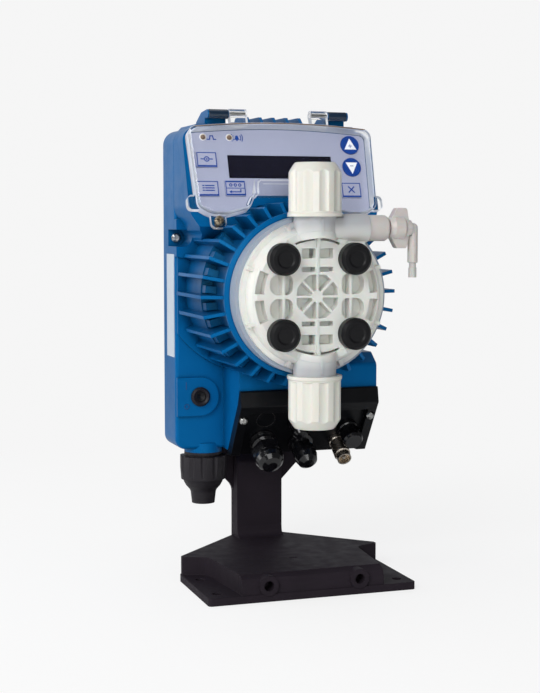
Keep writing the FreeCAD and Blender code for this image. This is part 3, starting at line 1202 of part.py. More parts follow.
def make_pump_head():
    front_step = HEAD_FRONT - HEAD_BACK
    disc = turned([
        (0, 0), (HEAD_FLANGE_R, 0), (HEAD_FLANGE_R, -HEAD_FLANGE_THICK), (HEAD_FRONT_R + 1.4, -HEAD_FLANGE_THICK),
        (HEAD_FRONT_R + 0.8, front_step * 0.62), (HEAD_FRONT_R - 0.6, front_step * 0.88),
        (HEAD_FRONT_R - 2.6, front_step), (0, front_step)], vec(0, HEAD_BACK, AXIS_Z), Y_AXIS)
    necks = [valve_tube(NECK_R, 0, AXIS_Z + side * NECK_INNER, AXIS_Z + side * NECK_REACH) for side in (-1, 1)]
    boss = rod(BLEED_BOSS_R, vec(0, VALVE_Y, BLEED_Z), X_AXIS, BLEED_BOSS_END)
    web = prism_y(sharp([(4, AXIS_Z + 26), (26.5, AXIS_Z + 24), (25.5, BLEED_Z), (4, BLEED_Z)]),
                  VALVE_Y - 3.4, VALVE_Y + 3.4)
    tabs = []
    for i in range(8):
        angle = 22.5 + 45 * i
        tab = block(HEAD_FRONT_R - 2, HEAD_FLANGE_R - 0.3, HEAD_BACK - 6.4, HEAD_BACK - 1, -1.0, 1.0)
        tab.Placement = FreeCAD.Placement(vec(0, 0, AXIS_Z), FreeCAD.Rotation(Y_AXIS, angle))
        tabs.append(tab)
    bosses = [rod(CAP_R - 0.6, vec(sx * BOLT_OFFSET, HEAD_FRONT - 0.4, AXIS_Z + sz * BOLT_OFFSET), Y_AXIS, 6)
              for sx in (-1, 1) for sz in (-1, 1)]
    solid = fused([disc, boss, web] + necks + tabs)
    solid = less(solid, head_pockets())
    solid = fused([solid] + bosses)
    behind = block(-BIG, BIG, HEAD_BACK, BIG, AXIS_Z - NECK_INNER, AXIS_Z + NECK_INNER)
    cuts = [behind, turned([(0, 0.5), (CHAMBER_R, 0.5), (CHAMBER_R, 0), (CHAMBER_R - 6, -CHAMBER_DEPTH),
                            (0, -CHAMBER_DEPTH)], vec(0, HEAD_BACK, AXIS_Z), Y_AXIS)]
    for side in (-1, 1):
        cuts.append(valve_tube(CARTRIDGE_R, 0, AXIS_Z + side * (NECK_REACH - CARTRIDGE_LENGTH),
                               AXIS_Z + side * (NECK_REACH + 1)))
        port = AXIS_Z + side * (NECK_REACH - CARTRIDGE_LENGTH - 1)
        cuts.append(rod(PORT_R, vec(0, VALVE_Y, port), vec(0, HEAD_BACK - 1.5 - VALVE_Y, -side * 22.0),
                        math.hypot(22.0, HEAD_BACK - 1.5 - VALVE_Y)))
    for sx in (-1, 1):
        for sz in (-1, 1):
            place = vec(sx * BOLT_OFFSET, HEAD_FRONT - 2, AXIS_Z + sz * BOLT_OFFSET)
            cuts.append(rod(BOLT_R + 0.05, place, Y_AXIS, BIG / 8))
    cuts.append(nut_rim_room(1))
    cuts.append(rod(BLEED_STUB_R - 2.0, vec(BLEED_BOSS_END - 8, VALVE_Y, BLEED_Z), X_AXIS, 9))
    cuts.append(rod(BLEED_BORE_R, vec(0, VALVE_Y, BLEED_Z), X_AXIS, BLEED_BOSS_END))
    return less(solid, cuts)


def nut_rim_room(side):
    """Ring that the head and its back plate leave free for the rim of a hose nut."""
    ring = tube(NUT_RIM_R + NUT_RIM_GAP, NECK_R, vec(0, VALVE_Y, 0), Z_AXIS, 10.0)
    ring.translate(vec(0, 0, along(side, NUT_START - NUT_RIM_GAP) - (10.0 if side < 0 else 0.0)))
    return ring


def make_backplate():
    plate = rod(BACKPLATE_R, vec(0, HEAD_BACK, AXIS_Z), Y_AXIS, DRUM_FRONT - HEAD_BACK)
    seat = rod(DIAPHRAGM_R + 0.05, vec(0, HEAD_BACK - 1, AXIS_Z), Y_AXIS, DIAPHRAGM_THICK + 1)
    bore = rod(CHAMBER_R - 4, vec(0, HEAD_BACK, AXIS_Z), Y_AXIS, BIG)
    gap = 0.3
    necks = [valve_tube(NECK_R + gap, 0, AXIS_Z + side * (NECK_INNER - gap), AXIS_Z + side * NECK_REACH)
             for side in (-1, 1)]
    boss = rod(BLEED_BOSS_R + gap, vec(0, VALVE_Y, BLEED_Z), X_AXIS, BLEED_BOSS_END + gap)
    bolts = [rod(BOLT_R + 0.05, vec(sx * BOLT_OFFSET, HEAD_BACK - 1, AXIS_Z + sz * BOLT_OFFSET), Y_AXIS, BIG / 8)
             for sx in (-1, 1) for sz in (-1, 1)]
    return less(plate, [seat, bore, boss, nut_rim_room(1), nut_rim_room(-1)] + necks + bolts)


def make_diaphragm():
    sheet = rod(DIAPHRAGM_R, vec(0, HEAD_BACK, AXIS_Z), Y_AXIS, DIAPHRAGM_THICK)
    hub = rod(DIAPHRAGM_HUB_R, vec(0, HEAD_BACK + DIAPHRAGM_THICK, AXIS_Z), Y_AXIS, DIAPHRAGM_HUB_DEPTH)
    bolts = [rod(BOLT_R + 0.05, vec(sx * BOLT_OFFSET, HEAD_BACK - 1, AXIS_Z + sz * BOLT_OFFSET), Y_AXIS, 10)
             for sx in (-1, 1) for sz in (-1, 1)]
    return less(fused([sheet, hub]), bolts)


def make_head_bolts():
    bolts = []
    for sx in (-1, 1):
        for sz in (-1, 1):
            x, z = sx * BOLT_OFFSET, AXIS_Z + sz * BOLT_OFFSET
            shank = rod(BOLT_R, vec(x, HEAD_FRONT - 1, z), Y_AXIS, DRUM_FRONT + 5.0 - HEAD_FRONT + 1)
            head = rod(BOLT_HEAD_R, vec(x, HEAD_FRONT - 4.4, z), Y_AXIS, 4.0)
            bolts.append(fused([shank, head]))
    return bolts


def make_bolt_caps():
    caps = []
    for sx in (-1, 1):
        for sz in (-1, 1):
            depth = HEAD_FRONT - 0.4 - CAP_FRONT
            caps.append(turned([
                (BOLT_HEAD_R + 0.15, 0), (CAP_R, 0), (CAP_R, depth - 1.6), (CAP_R - 1.4, depth),
                (CAP_INNER_R + 0.6, depth), (CAP_INNER_R, depth - 0.5), (0, depth - 0.5), (0, 4.2),
                (BOLT_HEAD_R + 0.15, 4.2)],
                vec(sx * BOLT_OFFSET, HEAD_FRONT - 0.4, AXIS_Z + sz * BOLT_OFFSET), vec(0, -1, 0)))
    return caps


def cartridge_start(side):
    """Lower end of the valve cartridge in the neck on the given side."""
    if side > 0:
        return AXIS_Z + NECK_REACH - CARTRIDGE_LENGTH
    return AXIS_Z - NECK_REACH


def seat_top(side):
    return cartridge_start(side) + (DISCHARGE_SEAT_THICK if side > 0 else SUCTION_SEAT_THICK)


def make_valve_seat(side):
    low = cartridge_start(side)
    return turned([
        (SEAT_BORE_R, low), (CARTRIDGE_R, low), (CARTRIDGE_R, seat_top(side)), (SEAT_BORE_R, seat_top(side))],
        VALVE_AXIS_POINT, Z_AXIS)


def make_valve_cage(side):
    """Guide cage over the ball, with a slotted top that lets the liquid past."""
    low = seat_top(side)
    high = cartridge_start(side) + CARTRIDGE_LENGTH
    ceiling = low + BALL_SEAT_HEIGHT + BALL_R + BALL_LIFT + 0.05
    cage = turned([
        (CAGE_BORE_R, low), (CARTRIDGE_R, low), (CARTRIDGE_R, high), (2.0, high), (2.0, ceiling),
        (CAGE_BORE_R, ceiling)], VALVE_AXIS_POINT, Z_AXIS)
    slots = []
    for i in range(3):
        slot = block(1.0, CAGE_BORE_R - 0.2, -0.9, 0.9, ceiling - 1, high + 1)
        slot.Placement = FreeCAD.Placement(VALVE_AXIS_POINT, FreeCAD.Rotation(Z_AXIS, 120 * i))
        slots.append(slot)
    return less(cage, slots)


def make_ball(side):
    centre = vec(0, VALVE_Y, seat_top(side) + BALL_SEAT_HEIGHT + 0.02)
    return Part.makeSphere(BALL_R, centre)


def along(side, distance):
    """Height of a point that lies a distance out from the head's axis, up or down."""
    return AXIS_Z + side * distance


def make_hose_nut(side):
    length = NUT_LENGTH
    body = turned([
        (NUT_BORE_R, 0), (NUT_RIM_R, 0), (NUT_RIM_R, 1.6), (NUT_R, 2.2), (NUT_R, length - 5.0),
        (NUT_R - 2.4, length - 1.2), (NUT_R - 3.4, length), (NUT_HOLE_R, length),
        (NUT_HOLE_R, length - NUT_END_WALL), (NUT_BORE_R, length - NUT_END_WALL)],
        vec(0, VALVE_Y, along(side, NUT_START)), vec(0, 0, side))
    flutes = []
    for i in range(NUT_FLUTES):
        angle = math.radians(360.0 / NUT_FLUTES * (i + 0.5))
        reach = NUT_R + 5.4
        low, high = sorted((along(side, NUT_START + 2.8), along(side, NUT_START + length + 1)))
        place = vec(reach * math.cos(angle), VALVE_Y + reach * math.sin(angle), low)
        flutes.append(rod(6.2, place, Z_AXIS, high - low))
    return less(body, flutes)


def make_nipple(side):
    base = NECK_REACH
    tip = NUT_START + NUT_LENGTH - NUT_END_WALL - 0.3
    return turned([
        (NIPPLE_BORE_R, 0), (NECK_R - 0.3, 0), (NECK_R - 0.3, NIPPLE_FLANGE), (NIPPLE_R, NIPPLE_FLANGE),
        (NIPPLE_R, tip - base - 2.6), (NIPPLE_R + 0.5, tip - base - 2.4), (NIPPLE_R - 0.7, tip - base),
        (NIPPLE_BORE_R, tip - base)], vec(0, VALVE_Y, along(side, base)), vec(0, 0, side))


def make_clamp_ring(side):
    """Split ring that the nut presses over the hose end."""
    base = NECK_REACH + NIPPLE_FLANGE + 0.3
    tip = NUT_START + NUT_LENGTH - NUT_END_WALL - 0.1
    return turned([
        (RING_BORE_R, 0), (NUT_BORE_R - 0.3, 0), (NUT_BORE_R - 0.3, tip - base - 1.0), (NUT_BORE_R - 1.6, tip - base),
        (RING_BORE_R, tip - base)], vec(0, VALVE_Y, along(side, base)), vec(0, 0, side))


def make_bleed_body():
    stem = BLEED_STUB_R - 2.05
    return turned([
        (NEEDLE_R + RUNNING_PLAY, BLEED_BOSS_END - 6.0), (stem, BLEED_BOSS_END - 6.0), (stem, BLEED_BOSS_END),
        (BLEED_STUB_R, BLEED_BOSS_END), (BLEED_STUB_R, BLEED_STUB_END - 1.0), (BLEED_STUB_R - 0.6, BLEED_STUB_END),
        (NEEDLE_R + RUNNING_PLAY, BLEED_STUB_END)], vec(0, VALVE_Y, BLEED_Z), X_AXIS)


def make_bleed_needle():
    """Spindle with a conical point that closes the bleed port, and a pin that carries the knob and elbow."""
    tip = BLEED_BOSS_END - 7.6
    return turned([
        (0, tip), (0.6, tip), (NEEDLE_R, tip + 2.4), (NEEDLE_R, KNOB_END + 0.3), (0, KNOB_END + 0.3)],
        vec(0, VALVE_Y, BLEED_Z), X_AXIS)


def make_bleed_knob():
    bore = NEEDLE_R + RUNNING_PLAY
    start = BLEED_STUB_END + 1.2
    hub = turned([
        (bore, start), (BLEED_NECK_R, start), (BLEED_NECK_R, KNOB_START), (KNOB_HUB_R + 1.0, KNOB_START + 2.0),
        (KNOB_HUB_R + 1.0, KNOB_END - 4.6), (KNOB_TIP_R + 0.5, KNOB_END - 3.0), (KNOB_TIP_R, KNOB_END),
        (bore, KNOB_END)], vec(0, VALVE_Y, 0), X_AXIS)
    wing_end = KNOB_START + KNOB_WING_LENGTH
    wings = prism_y(rounded([
        (KNOB_START + 0.4, -4.6, 1), (KNOB_START + 3.6, -KNOB_WING_R, 1.4), (wing_end - 1.2, -KNOB_WING_R, 1.4),
        (wing_end, -4.4, 1), (wing_end, 4.4, 1), (wing_end - 1.2, KNOB_WING_R, 1.4),
        (KNOB_START + 3.6, KNOB_WING_R, 1.4), (KNOB_START + 0.4, 4.6, 1)]),
        VALVE_Y - KNOB_WING_THICK / 2, VALVE_Y + KNOB_WING_THICK / 2)
    hub_core = rod(bore + 1.0, vec(KNOB_START - 5, VALVE_Y, 0), X_AXIS, 30)
    knob = fused([hub, wings.cut(hub_core)])
    knob.translate(vec(0, 0, BLEED_Z))
    return knob


def make_bleed_elbow():
    """Hose tail: a tight bend out of the knob's end and a drop leg with a barb."""
    start = KNOB_END + 0.2
    arm = rod(ELBOW_R, vec(start, VALVE_Y, BLEED_Z), X_AXIS, ELBOW_X - start)
    corner = Part.makeSphere(ELBOW_R, vec(ELBOW_X, VALVE_Y, BLEED_Z))
    barb_top = ELBOW_BOTTOM + ELBOW_BARB_LENGTH
    leg = turned([
        (0, ELBOW_BOTTOM), (ELBOW_BARB_R, ELBOW_BOTTOM), (ELBOW_BARB_R, barb_top - 2.6),
        (ELBOW_BARB_R - 0.3, barb_top - 2.2), (ELBOW_BARB_R - 0.3, barb_top), (ELBOW_R, barb_top + 0.3),
        (ELBOW_R, BLEED_Z), (0, BLEED_Z)], vec(ELBOW_X, VALVE_Y, 0), Z_AXIS)
    hub_room = rod(KNOB_TIP_R + 0.4, vec(start - 10, VALVE_Y, BLEED_Z), X_AXIS, 10)
    bore = rod(ELBOW_BORE_R, vec(ELBOW_X, VALVE_Y, ELBOW_BOTTOM - 1), Z_AXIS, ELBOW_BARB_LENGTH + 12)
    socket = rod(NEEDLE_R + RUNNING_PLAY, vec(start - 1, VALVE_Y, BLEED_Z), X_AXIS, 1.2)
    return less(fused([arm, corner, leg]), [bore, socket, hub_room])


# Solenoid drive

def axis_turned(profile):
    """Turned about the drive axis; distances are Y values."""
    return turned(profile, vec(0, 0, AXIS_Z), Y_AXIS)


def make_pole_plate():
    return axis_turned([
        (BUSH_R, POLE_FRONT), (YOKE_R, POLE_FRONT), (YOKE_R, POLE_BACK), (BUSH_R, POLE_BACK)])


def make_yoke():
    inner = YOKE_R - YOKE_WALL
    return axis_turned([
        (inner, POLE_BACK), (YOKE_R, POLE_BACK), (YOKE_R, YOKE_BACK), (BUSH_R, YOKE_BACK),
        (BUSH_R, YOKE_BACK - YOKE_WALL), (inner, YOKE_BACK - YOKE_WALL)])


def make_bobbin():
    outer = BOBBIN_BORE_R + BOBBIN_WALL
    front = POLE_BACK + 0.1
    back = YOKE_BACK - YOKE_WALL - 0.1
    return axis_turned([
        (BOBBIN_BORE_R, front), (BOBBIN_FLANGE_R, front), (BOBBIN_FLANGE_R, front + BOBBIN_FLANGE_THICK),
        (outer, front + BOBBIN_FLANGE_THICK), (outer, back - BOBBIN_FLANGE_THICK),
        (BOBBIN_FLANGE_R, back - BOBBIN_FLANGE_THICK), (BOBBIN_FLANGE_R, back), (BOBBIN_BORE_R, back)])


def make_coil():
    inner = BOBBIN_BORE_R + BOBBIN_WALL + 0.05
    front = POLE_BACK + 0.2 + BOBBIN_FLANGE_THICK
    back = YOKE_BACK - YOKE_WALL - 0.2 - BOBBIN_FLANGE_THICK
    return axis_turned([(inner, front), (COIL_R, front), (COIL_R, back), (inner, back)])


def make_armature():
    """Plunger with its spring pocket and the shaft that pushes the diaphragm."""
    front = POLE_BACK + ARMATURE_GAP
    hub_back = HEAD_BACK + DIAPHRAGM_THICK + DIAPHRAGM_HUB_DEPTH
    return axis_turned([
        (0, hub_back), (SHAFT_R, hub_back), (SHAFT_R, front + SPRING_POCKET_DEPTH),
        (SPRING_POCKET_R, front + SPRING_POCKET_DEPTH), (SPRING_POCKET_R, front), (ARMATURE_R, front),
        (ARMATURE_R, ARMATURE_BACK), (SHAFT_R, ARMATURE_BACK), (SHAFT_R, YOKE_BACK + 2.0), (0, YOKE_BACK + 2.0)])


def make_bush(y0, y1):
    return axis_turned([
        (SHAFT_R + RUNNING_PLAY, y0), (BUSH_R - 0.02, y0), (BUSH_R - 0.02, y1), (SHAFT_R + RUNNING_PLAY, y1)])


def make_return_spring():
    """Coil spring round the shaft, as a run of short straight lengths with mitred joints."""
    front = POLE_BACK + SPRING_WIRE_R + 0.05
    length = ARMATURE_GAP + SPRING_POCKET_DEPTH - 2 * SPRING_WIRE_R - 0.1
    steps = SPRING_TURNS * SPRING_SIDES
    points = []
    for i in range(steps + 1):
        angle = 2 * math.pi * i / SPRING_SIDES
        points.append(vec(SPRING_R * math.cos(angle), SPRING_R * math.sin(angle), length * i / steps))
    section = Part.makePolygon([
        vec(SPRING_R + SPRING_WIRE_R * math.cos(i * math.pi / 3), 0, SPRING_WIRE_R * math.sin(i * math.pi / 3))
        for i in range(7)])
    spring = Part.makePolygon(points).makePipeShell([section], True, False, 1)
    spring.Placement = FreeCAD.Placement(vec(0, front, AXIS_Z), FreeCAD.Rotation(Z_AXIS, Y_AXIS))
    return spring


def make_main_board():
    """Control board behind the solenoid, with its capacitor, relay and terminal blocks."""
    front = YOKE_BACK + MAIN_BOARD_GAP
    low = HOUSING_BOTTOM + PARTS_ABOVE_FLOOR
    board = block(MAIN_BOARD_LEFT, MAIN_BOARD_RIGHT, front, front + BOARD_THICK, HOUSING_BOTTOM + 8.0, AXIS_Z + 14.0)
    capacitor = rod(CAPACITOR_R, vec(CAPACITOR_X, front + 0.5, low + 8.0), vec(0, -1, 0), CAPACITOR_LENGTH)
    relay = block(RELAY_LEFT, RELAY_LEFT + RELAY_SIZE + 2.0, front - RELAY_SIZE - 2.0, front, low, low + RELAY_SIZE)
    terminals = block(TERMINALS_LEFT, TERMINALS_RIGHT, front - TERMINALS_DEPTH, front, low, low + 8.0)
    pads = [rod(2.6, vec(x, front + 1.5, z), Y_AXIS, RECESS_FLOOR - WALL - front - 1.5)
            for x in (-24.0, 36.0) for z in (110.0, 146.0)]
    return fused([board, capacitor, relay, terminals] + pads)


def main():
    os.makedirs("parts", exist_ok=True)
    save("mounting_bracket", make_bracket())
    save("bracket_screws", *make_bracket_screws())
    save("rear_cover", make_rear_cover())
    save("front_casing", make_front_casing())
    save("housing_gasket", seal_groove(SEAM_Y - SEAL_DEPTH, SEAM_Y))
    save("casing_screws", *[make_case_screw(x, z) for x, z in case_screw_places()])
    save("rating_label", make_label())
    save("panel_membrane", make_membrane())
    for name, (x, u) in SQUARE_KEYS.items():
        save("key_" + name, make_key(x, u, square_key_wire(x, u, 0)))
    for name, (x, u) in ROUND_KEYS.items():
        save("key_" + name, make_key(x, u, disc_wire(x, u, KEY_ROUND_R)))
    save("display_window", make_display())
    save("display_board", make_board())
    save("led_pulse", make_led(*LED_PLACES[0]))
    save("led_alarm", make_led(*LED_PLACES[1]))
    save("panel_cover", make_panel_cover())
    save("cover_screws", make_cover_screw(-1), make_cover_screw(1))
    save("hinge_pins", make_hinge_pin(-1), make_hinge_pin(1))
    save("switch_bezel", make_switch_bezel())
    save("switch_button", make_switch_button())
    save("connector_cover", make_connector_cover())
    save("connector_screws", *make_connector_screws())
    save("signal_gland", make_signal_gland())
    save("signal_gland_nut", make_signal_gland_nut())
    save("port_caps", *make_port_caps())
    save("probe_socket", make_probe_socket())
    save("gland_body", make_gland_body())
    save("gland_seal", make_gland_seal())
    save("gland_nut", make_gland_nut())
    save("pump_head", make_pump_head())
    save("head_backplate", make_backplate())
    save("diaphragm", make_diaphragm())
    save("head_bolts", *make_head_bolts())
    save("bolt_caps", *make_bolt_caps())
    save("valve_seats", make_valve_seat(-1), make_valve_seat(1))
    save("valve_cages", make_valve_cage(-1), make_valve_cage(1))
    for side, name in ((1, "discharge"), (-1, "suction")):
        save(name + "_ball", make_ball(side))
        save(name + "_nut", make_hose_nut(side))
        save(name + "_clamp_ring", make_clamp_ring(side))
    save("hose_nipples", make_nipple(-1), make_nipple(1))
    save("bleed_body", make_bleed_body())
    save("bleed_needle", make_bleed_needle())
    save("bleed_knob", make_bleed_knob())
    save("bleed_elbow", make_bleed_elbow())
    save("pole_plate", make_pole_plate())
    save("solenoid_yoke", make_yoke())
    save("coil_bobbin", make_bobbin())
    save("solenoid_coil", make_coil())
    save("armature", make_armature())
    save("shaft_bushes", make_bush(POLE_FRONT, POLE_BACK), make_bush(YOKE_BACK - YOKE_WALL, YOKE_BACK))
    save("return_spring", make_return_spring())
    save("main_board", make_main_board())


main()
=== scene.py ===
import math

import bmesh
import bpy
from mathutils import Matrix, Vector


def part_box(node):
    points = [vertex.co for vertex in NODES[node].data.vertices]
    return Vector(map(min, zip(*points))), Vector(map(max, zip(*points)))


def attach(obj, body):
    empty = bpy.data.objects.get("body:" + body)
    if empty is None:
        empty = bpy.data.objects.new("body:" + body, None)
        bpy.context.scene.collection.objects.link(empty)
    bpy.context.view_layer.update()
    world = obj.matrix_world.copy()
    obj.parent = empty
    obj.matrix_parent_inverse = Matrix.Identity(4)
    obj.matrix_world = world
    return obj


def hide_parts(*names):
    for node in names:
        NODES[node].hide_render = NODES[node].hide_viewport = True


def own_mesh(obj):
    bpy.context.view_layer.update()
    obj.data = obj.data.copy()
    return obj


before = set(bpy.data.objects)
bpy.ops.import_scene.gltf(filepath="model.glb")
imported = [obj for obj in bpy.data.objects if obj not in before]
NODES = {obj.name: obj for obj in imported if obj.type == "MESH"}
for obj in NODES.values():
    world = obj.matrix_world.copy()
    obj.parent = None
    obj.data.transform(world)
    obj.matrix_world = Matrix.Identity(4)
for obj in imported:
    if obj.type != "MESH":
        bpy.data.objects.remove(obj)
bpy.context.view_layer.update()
MM = 0.001

# Places on the part, in metres
HEAD_AXIS_Z = 0.1563
NECK_FADE = (0.029, 0.037)

# Shares and samples of the materials
# How dark the painted shade in hollows gets, as a share of the colour
PAINTED_SHADE_FACTOR = 0.35
EDGE_SAMPLES = 4
FROST = (0.74, 0.75, 0.77, 1.0)
FROST_GLOW = (0.3, 0.3, 0.32, 1.0)


# Materials

def linear(srgb):
    """Turns 0..255 display values into the linear colour a shader takes."""
    channels = [c / 255.0 for c in srgb]
    return [c / 12.92 if c <= 0.04045 else ((c + 0.055) / 1.055) ** 2.4 for c in channels]


class Nodes:
    """A material's node tree with short calls for what these surfaces need."""

    def __init__(self, name):
        self.material = bpy.data.materials.new(name)
        self.material.use_nodes = True
        self.tree = self.material.node_tree
        self.shader = self.tree.nodes["Principled BSDF"]
        self.output = self.tree.nodes["Material Output"]
        self.place = self.add("ShaderNodeTexCoord").outputs["Object"]

    def add(self, kind, **settings):
        node = self.tree.nodes.new(kind)
        for key, value in settings.items():
            setattr(node, key, value)
        return node

    def link(self, out, into):
        self.tree.links.new(out, into)

    def noise(self, scale, detail=2.0, stretch=None):
        node = self.add("ShaderNodeTexNoise")
        node.inputs["Scale"].default_value = scale
        node.inputs["Detail"].default_value = detail
        place = self.place
        if stretch:
            mapping = self.add("ShaderNodeMapping")
            mapping.inputs["Scale"].default_value = stretch
            self.link(place, mapping.inputs["Vector"])
            place = mapping.outputs["Vector"]
        self.link(place, node.inputs["Vector"])
        return node.outputs["Fac"]

    def spread(self, value, low, high, start=0.3, stop=0.7):
        node = self.add("ShaderNodeMapRange")
        node.inputs["From Min"].default_value = start
        node.inputs["From Max"].default_value = stop
        node.inputs["To Min"].default_value = low
        node.inputs["To Max"].default_value = high
        self.link(value, node.inputs["Value"])
        return node.outputs["Result"]

    def blend(self, value, first, second):
        node = self.add("ShaderNodeMix", data_type="RGBA")
        for socket, colour in ((node.inputs[6], first), (node.inputs[7], second)):
            if isinstance(colour, (list, tuple)):
                socket.default_value = (*colour[:3], 1.0)
            else:
                self.link(colour, socket)
        self.link(value, node.inputs[0])
        return node.outputs[2]

    def bump(self, height, distance, rounding=0.0):
        node = self.add("ShaderNodeBump")
        node.inputs["Distance"].default_value = distance
        self.link(height, node.inputs["Height"])
        if rounding:
            edge = self.add("ShaderNodeBevel", samples=EDGE_SAMPLES)
            edge.inputs["Radius"].default_value = rounding
            self.link(edge.outputs["Normal"], node.inputs["Normal"])
        self.link(node.outputs["Normal"], self.shader.inputs["Normal"])

    def set(self, **values):
        names = {
            "rough": "Roughness", "metal": "Metallic", "ior": "IOR", "coat": "Coat Weight",
            "coat_rough": "Coat Roughness", "sss": "Subsurface Weight", "sss_scale": "Subsurface Scale",
            "through": "Transmission Weight", "level": "Specular IOR Level", "gloss_tint": "Specular Tint",
        }
        for key, value in values.items():
            self.shader.inputs[names[key]].default_value = value


def moulded(name, colour, rough=0.4, tone=0.06, grain=0.00003, grain_scale=1600.0, cloud=35.0,
            rounding=0.0004, painted_shade=0.0, reach=0.006, ends=None, **values):
    """Moulded plastic: slight cloudiness, roughness that drifts, a fine grain and rounded edges.

    Painted shade: hollows within reach are darkened by the given share; ends is the colour far above and
    below the head's axis.
    """
    m = Nodes(name)
    light = [min(1.0, c * (1 + tone)) for c in colour]
    dark = [c * (1 - tone) for c in colour]
    shade = m.blend(m.spread(m.noise(cloud, 3.0), 0.0, 1.0), dark, light)
    if ends:
        split = m.add("ShaderNodeSeparateXYZ")
        m.link(m.place, split.inputs[0])
        height = m.add("ShaderNodeMath", operation="SUBTRACT")
        m.link(split.outputs["Z"], height.inputs[0])
        height.inputs[1].default_value = HEAD_AXIS_Z
        away = m.add("ShaderNodeMath", operation="ABSOLUTE")
        m.link(height.outputs["Value"], away.inputs[0])
        shade = m.blend(m.spread(away.outputs["Value"], 0.0, 1.0, *NECK_FADE), shade, ends)
    # Painted shade: ambient occlusion darkens the colour in hollows and between fins
    if painted_shade:
        hollow = m.add("ShaderNodeAmbientOcclusion", samples=EDGE_SAMPLES)
        hollow.inputs["Distance"].default_value = reach
        depth = m.spread(hollow.outputs["AO"], painted_shade, 0.0, 0.15, 0.85)
        shade = m.blend(depth, shade, [c * PAINTED_SHADE_FACTOR for c in colour])
    m.link(shade, m.shader.inputs["Base Color"])
    gloss = m.spread(m.noise(cloud * 4, 2.0), rough * 0.88, min(1.0, rough * 1.12))
    m.link(gloss, m.shader.inputs["Roughness"])
    m.bump(m.noise(grain_scale, 1.0), grain, rounding)
    m.set(**values)
    return m.material


def brushed(name, colour, rough=0.32, stretch=(40, 40, 900)):
    """Bare metal with fine streaks; stretch says how dense they are along each axis."""
    m = Nodes(name)
    streak = m.noise(1.0, 3.0, stretch)
    shade = m.blend(m.spread(streak, 0.0, 1.0), [c * 0.8 for c in colour], colour)
    m.link(shade, m.shader.inputs["Base Color"])
    m.link(m.spread(streak, rough * 0.75, rough * 1.25), m.shader.inputs["Roughness"])
    m.bump(m.noise(600.0, 2.0), 0.00002, 0.0002)
    m.set(metal=1.0)
    return m.material


def clear(name, tint, rough=0.03, bend=1.35):
    """Clear plastic: shadow rays pass it, and the eye gets gloss, a slight bend and frosted edges."""
    m = Nodes(name)
    haze = m.spread(m.noise(120.0, 3.0), rough * 0.6, rough * 1.6)
    m.link(haze, m.shader.inputs["Roughness"])
    m.shader.inputs["Base Color"].default_value = (*tint, 1.0)
    m.set(through=1.0, ior=bend, level=0.75)
    m.bump(m.noise(90.0, 1.0), 0.00002)
    passing = m.add("ShaderNodeBsdfTransparent")
    passing.inputs["Color"].default_value = (*[min(1.0, c + 0.02) for c in tint], 1.0)
    slant = m.add("ShaderNodeLayerWeight")
    slant.inputs["Blend"].default_value = 0.4
    matt = m.add("ShaderNodeBsdfDiffuse")
    matt.inputs["Color"].default_value = FROST
    glow = m.add("ShaderNodeBsdfTranslucent")
    glow.inputs["Color"].default_value = FROST_GLOW
    frost = m.add("ShaderNodeAddShader")
    m.link(matt.outputs["BSDF"], frost.inputs[0])
    m.link(glow.outputs["BSDF"], frost.inputs[1])
    rim = m.add("ShaderNodeMixShader")
    m.link(m.spread(slant.outputs["Facing"], 0.0, 0.75, 0.22, 0.8), rim.inputs[0])
    m.link(m.shader.outputs["BSDF"], rim.inputs[1])
    m.link(frost.outputs["Shader"], rim.inputs[2])
    choose = m.add("ShaderNodeMixShader")
    path = m.add("ShaderNodeLightPath")
    m.link(path.outputs["Is Shadow Ray"], choose.inputs[0])
    m.link(rim.outputs["Shader"], choose.inputs[1])
    m.link(passing.outputs["BSDF"], choose.inputs[2])
    m.link(choose.outputs["Shader"], m.output.inputs["Surface"])
    return m.material


def lens(name, middle, edge):
    """Unlit lamp lens: dark where it faces the eye, with a painted highlight in a pale colour round its
    edge.
    """
    m = Nodes(name)
    slant = m.add("ShaderNodeLayerWeight")
    slant.inputs["Blend"].default_value = 0.5
    speck = m.spread(m.noise(2600.0, 2.0), 0.9, 1.0)
    amount = m.add("ShaderNodeMath", operation="MULTIPLY")
    # Painted highlight: the lens turns pale where it slants away from the eye
    m.link(m.spread(slant.outputs["Facing"], 0.0, 1.0, 0.2, 0.5), amount.inputs[0])
    m.link(speck, amount.inputs[1])
    m.link(m.blend(amount.outputs["Value"], middle, edge), m.shader.inputs["Base Color"])
    m.link(m.spread(m.noise(900.0, 2.0), 0.1, 0.2), m.shader.inputs["Roughness"])
    m.set(coat=0.3)
    return m.material


# blue_plastic and milky_white carry painted shade in their hollows
BLUE = moulded("blue_plastic", linear((0, 95, 158)), 0.36, 0.05, 0.00002, 1500.0, rounding=0.0005,
               painted_shade=0.9, reach=0.011, level=0.42, gloss_tint=(0.12, 0.62, 1.0, 1.0))
BLACK = moulded("black_plastic", linear((36, 33, 38)), 0.5, 0.10, 0.00003, 1300.0, level=0.3)
FOOT = moulded("foot_plastic", linear((41, 35, 42)), 0.6, 0.12, 0.00004, 1100.0, rounding=0.0007, level=0.1)
GLOSS_BLACK = moulded("gloss_black", linear((13, 13, 16)), 0.16, 0.10, 0.00001, 700.0, coat=0.2,
                      coat_rough=0.08)
SATIN_BLACK = moulded("satin_black", linear((13, 14, 17)), 0.34, 0.10, 0.00001, 900.0, level=0.22)
RUBBER = moulded("black_rubber", linear((15, 15, 18)), 0.42, 0.10, 0.00003, 1800.0, rounding=0.0008,
                 level=0.28)
WHITE = moulded("milky_white", linear((238, 238, 232)), 0.38, 0.015, 0.00002, 900.0, rounding=0.0005,
                painted_shade=0.14, reach=0.008, ends=linear((188, 190, 194)), sss=0.2, sss_scale=0.004)
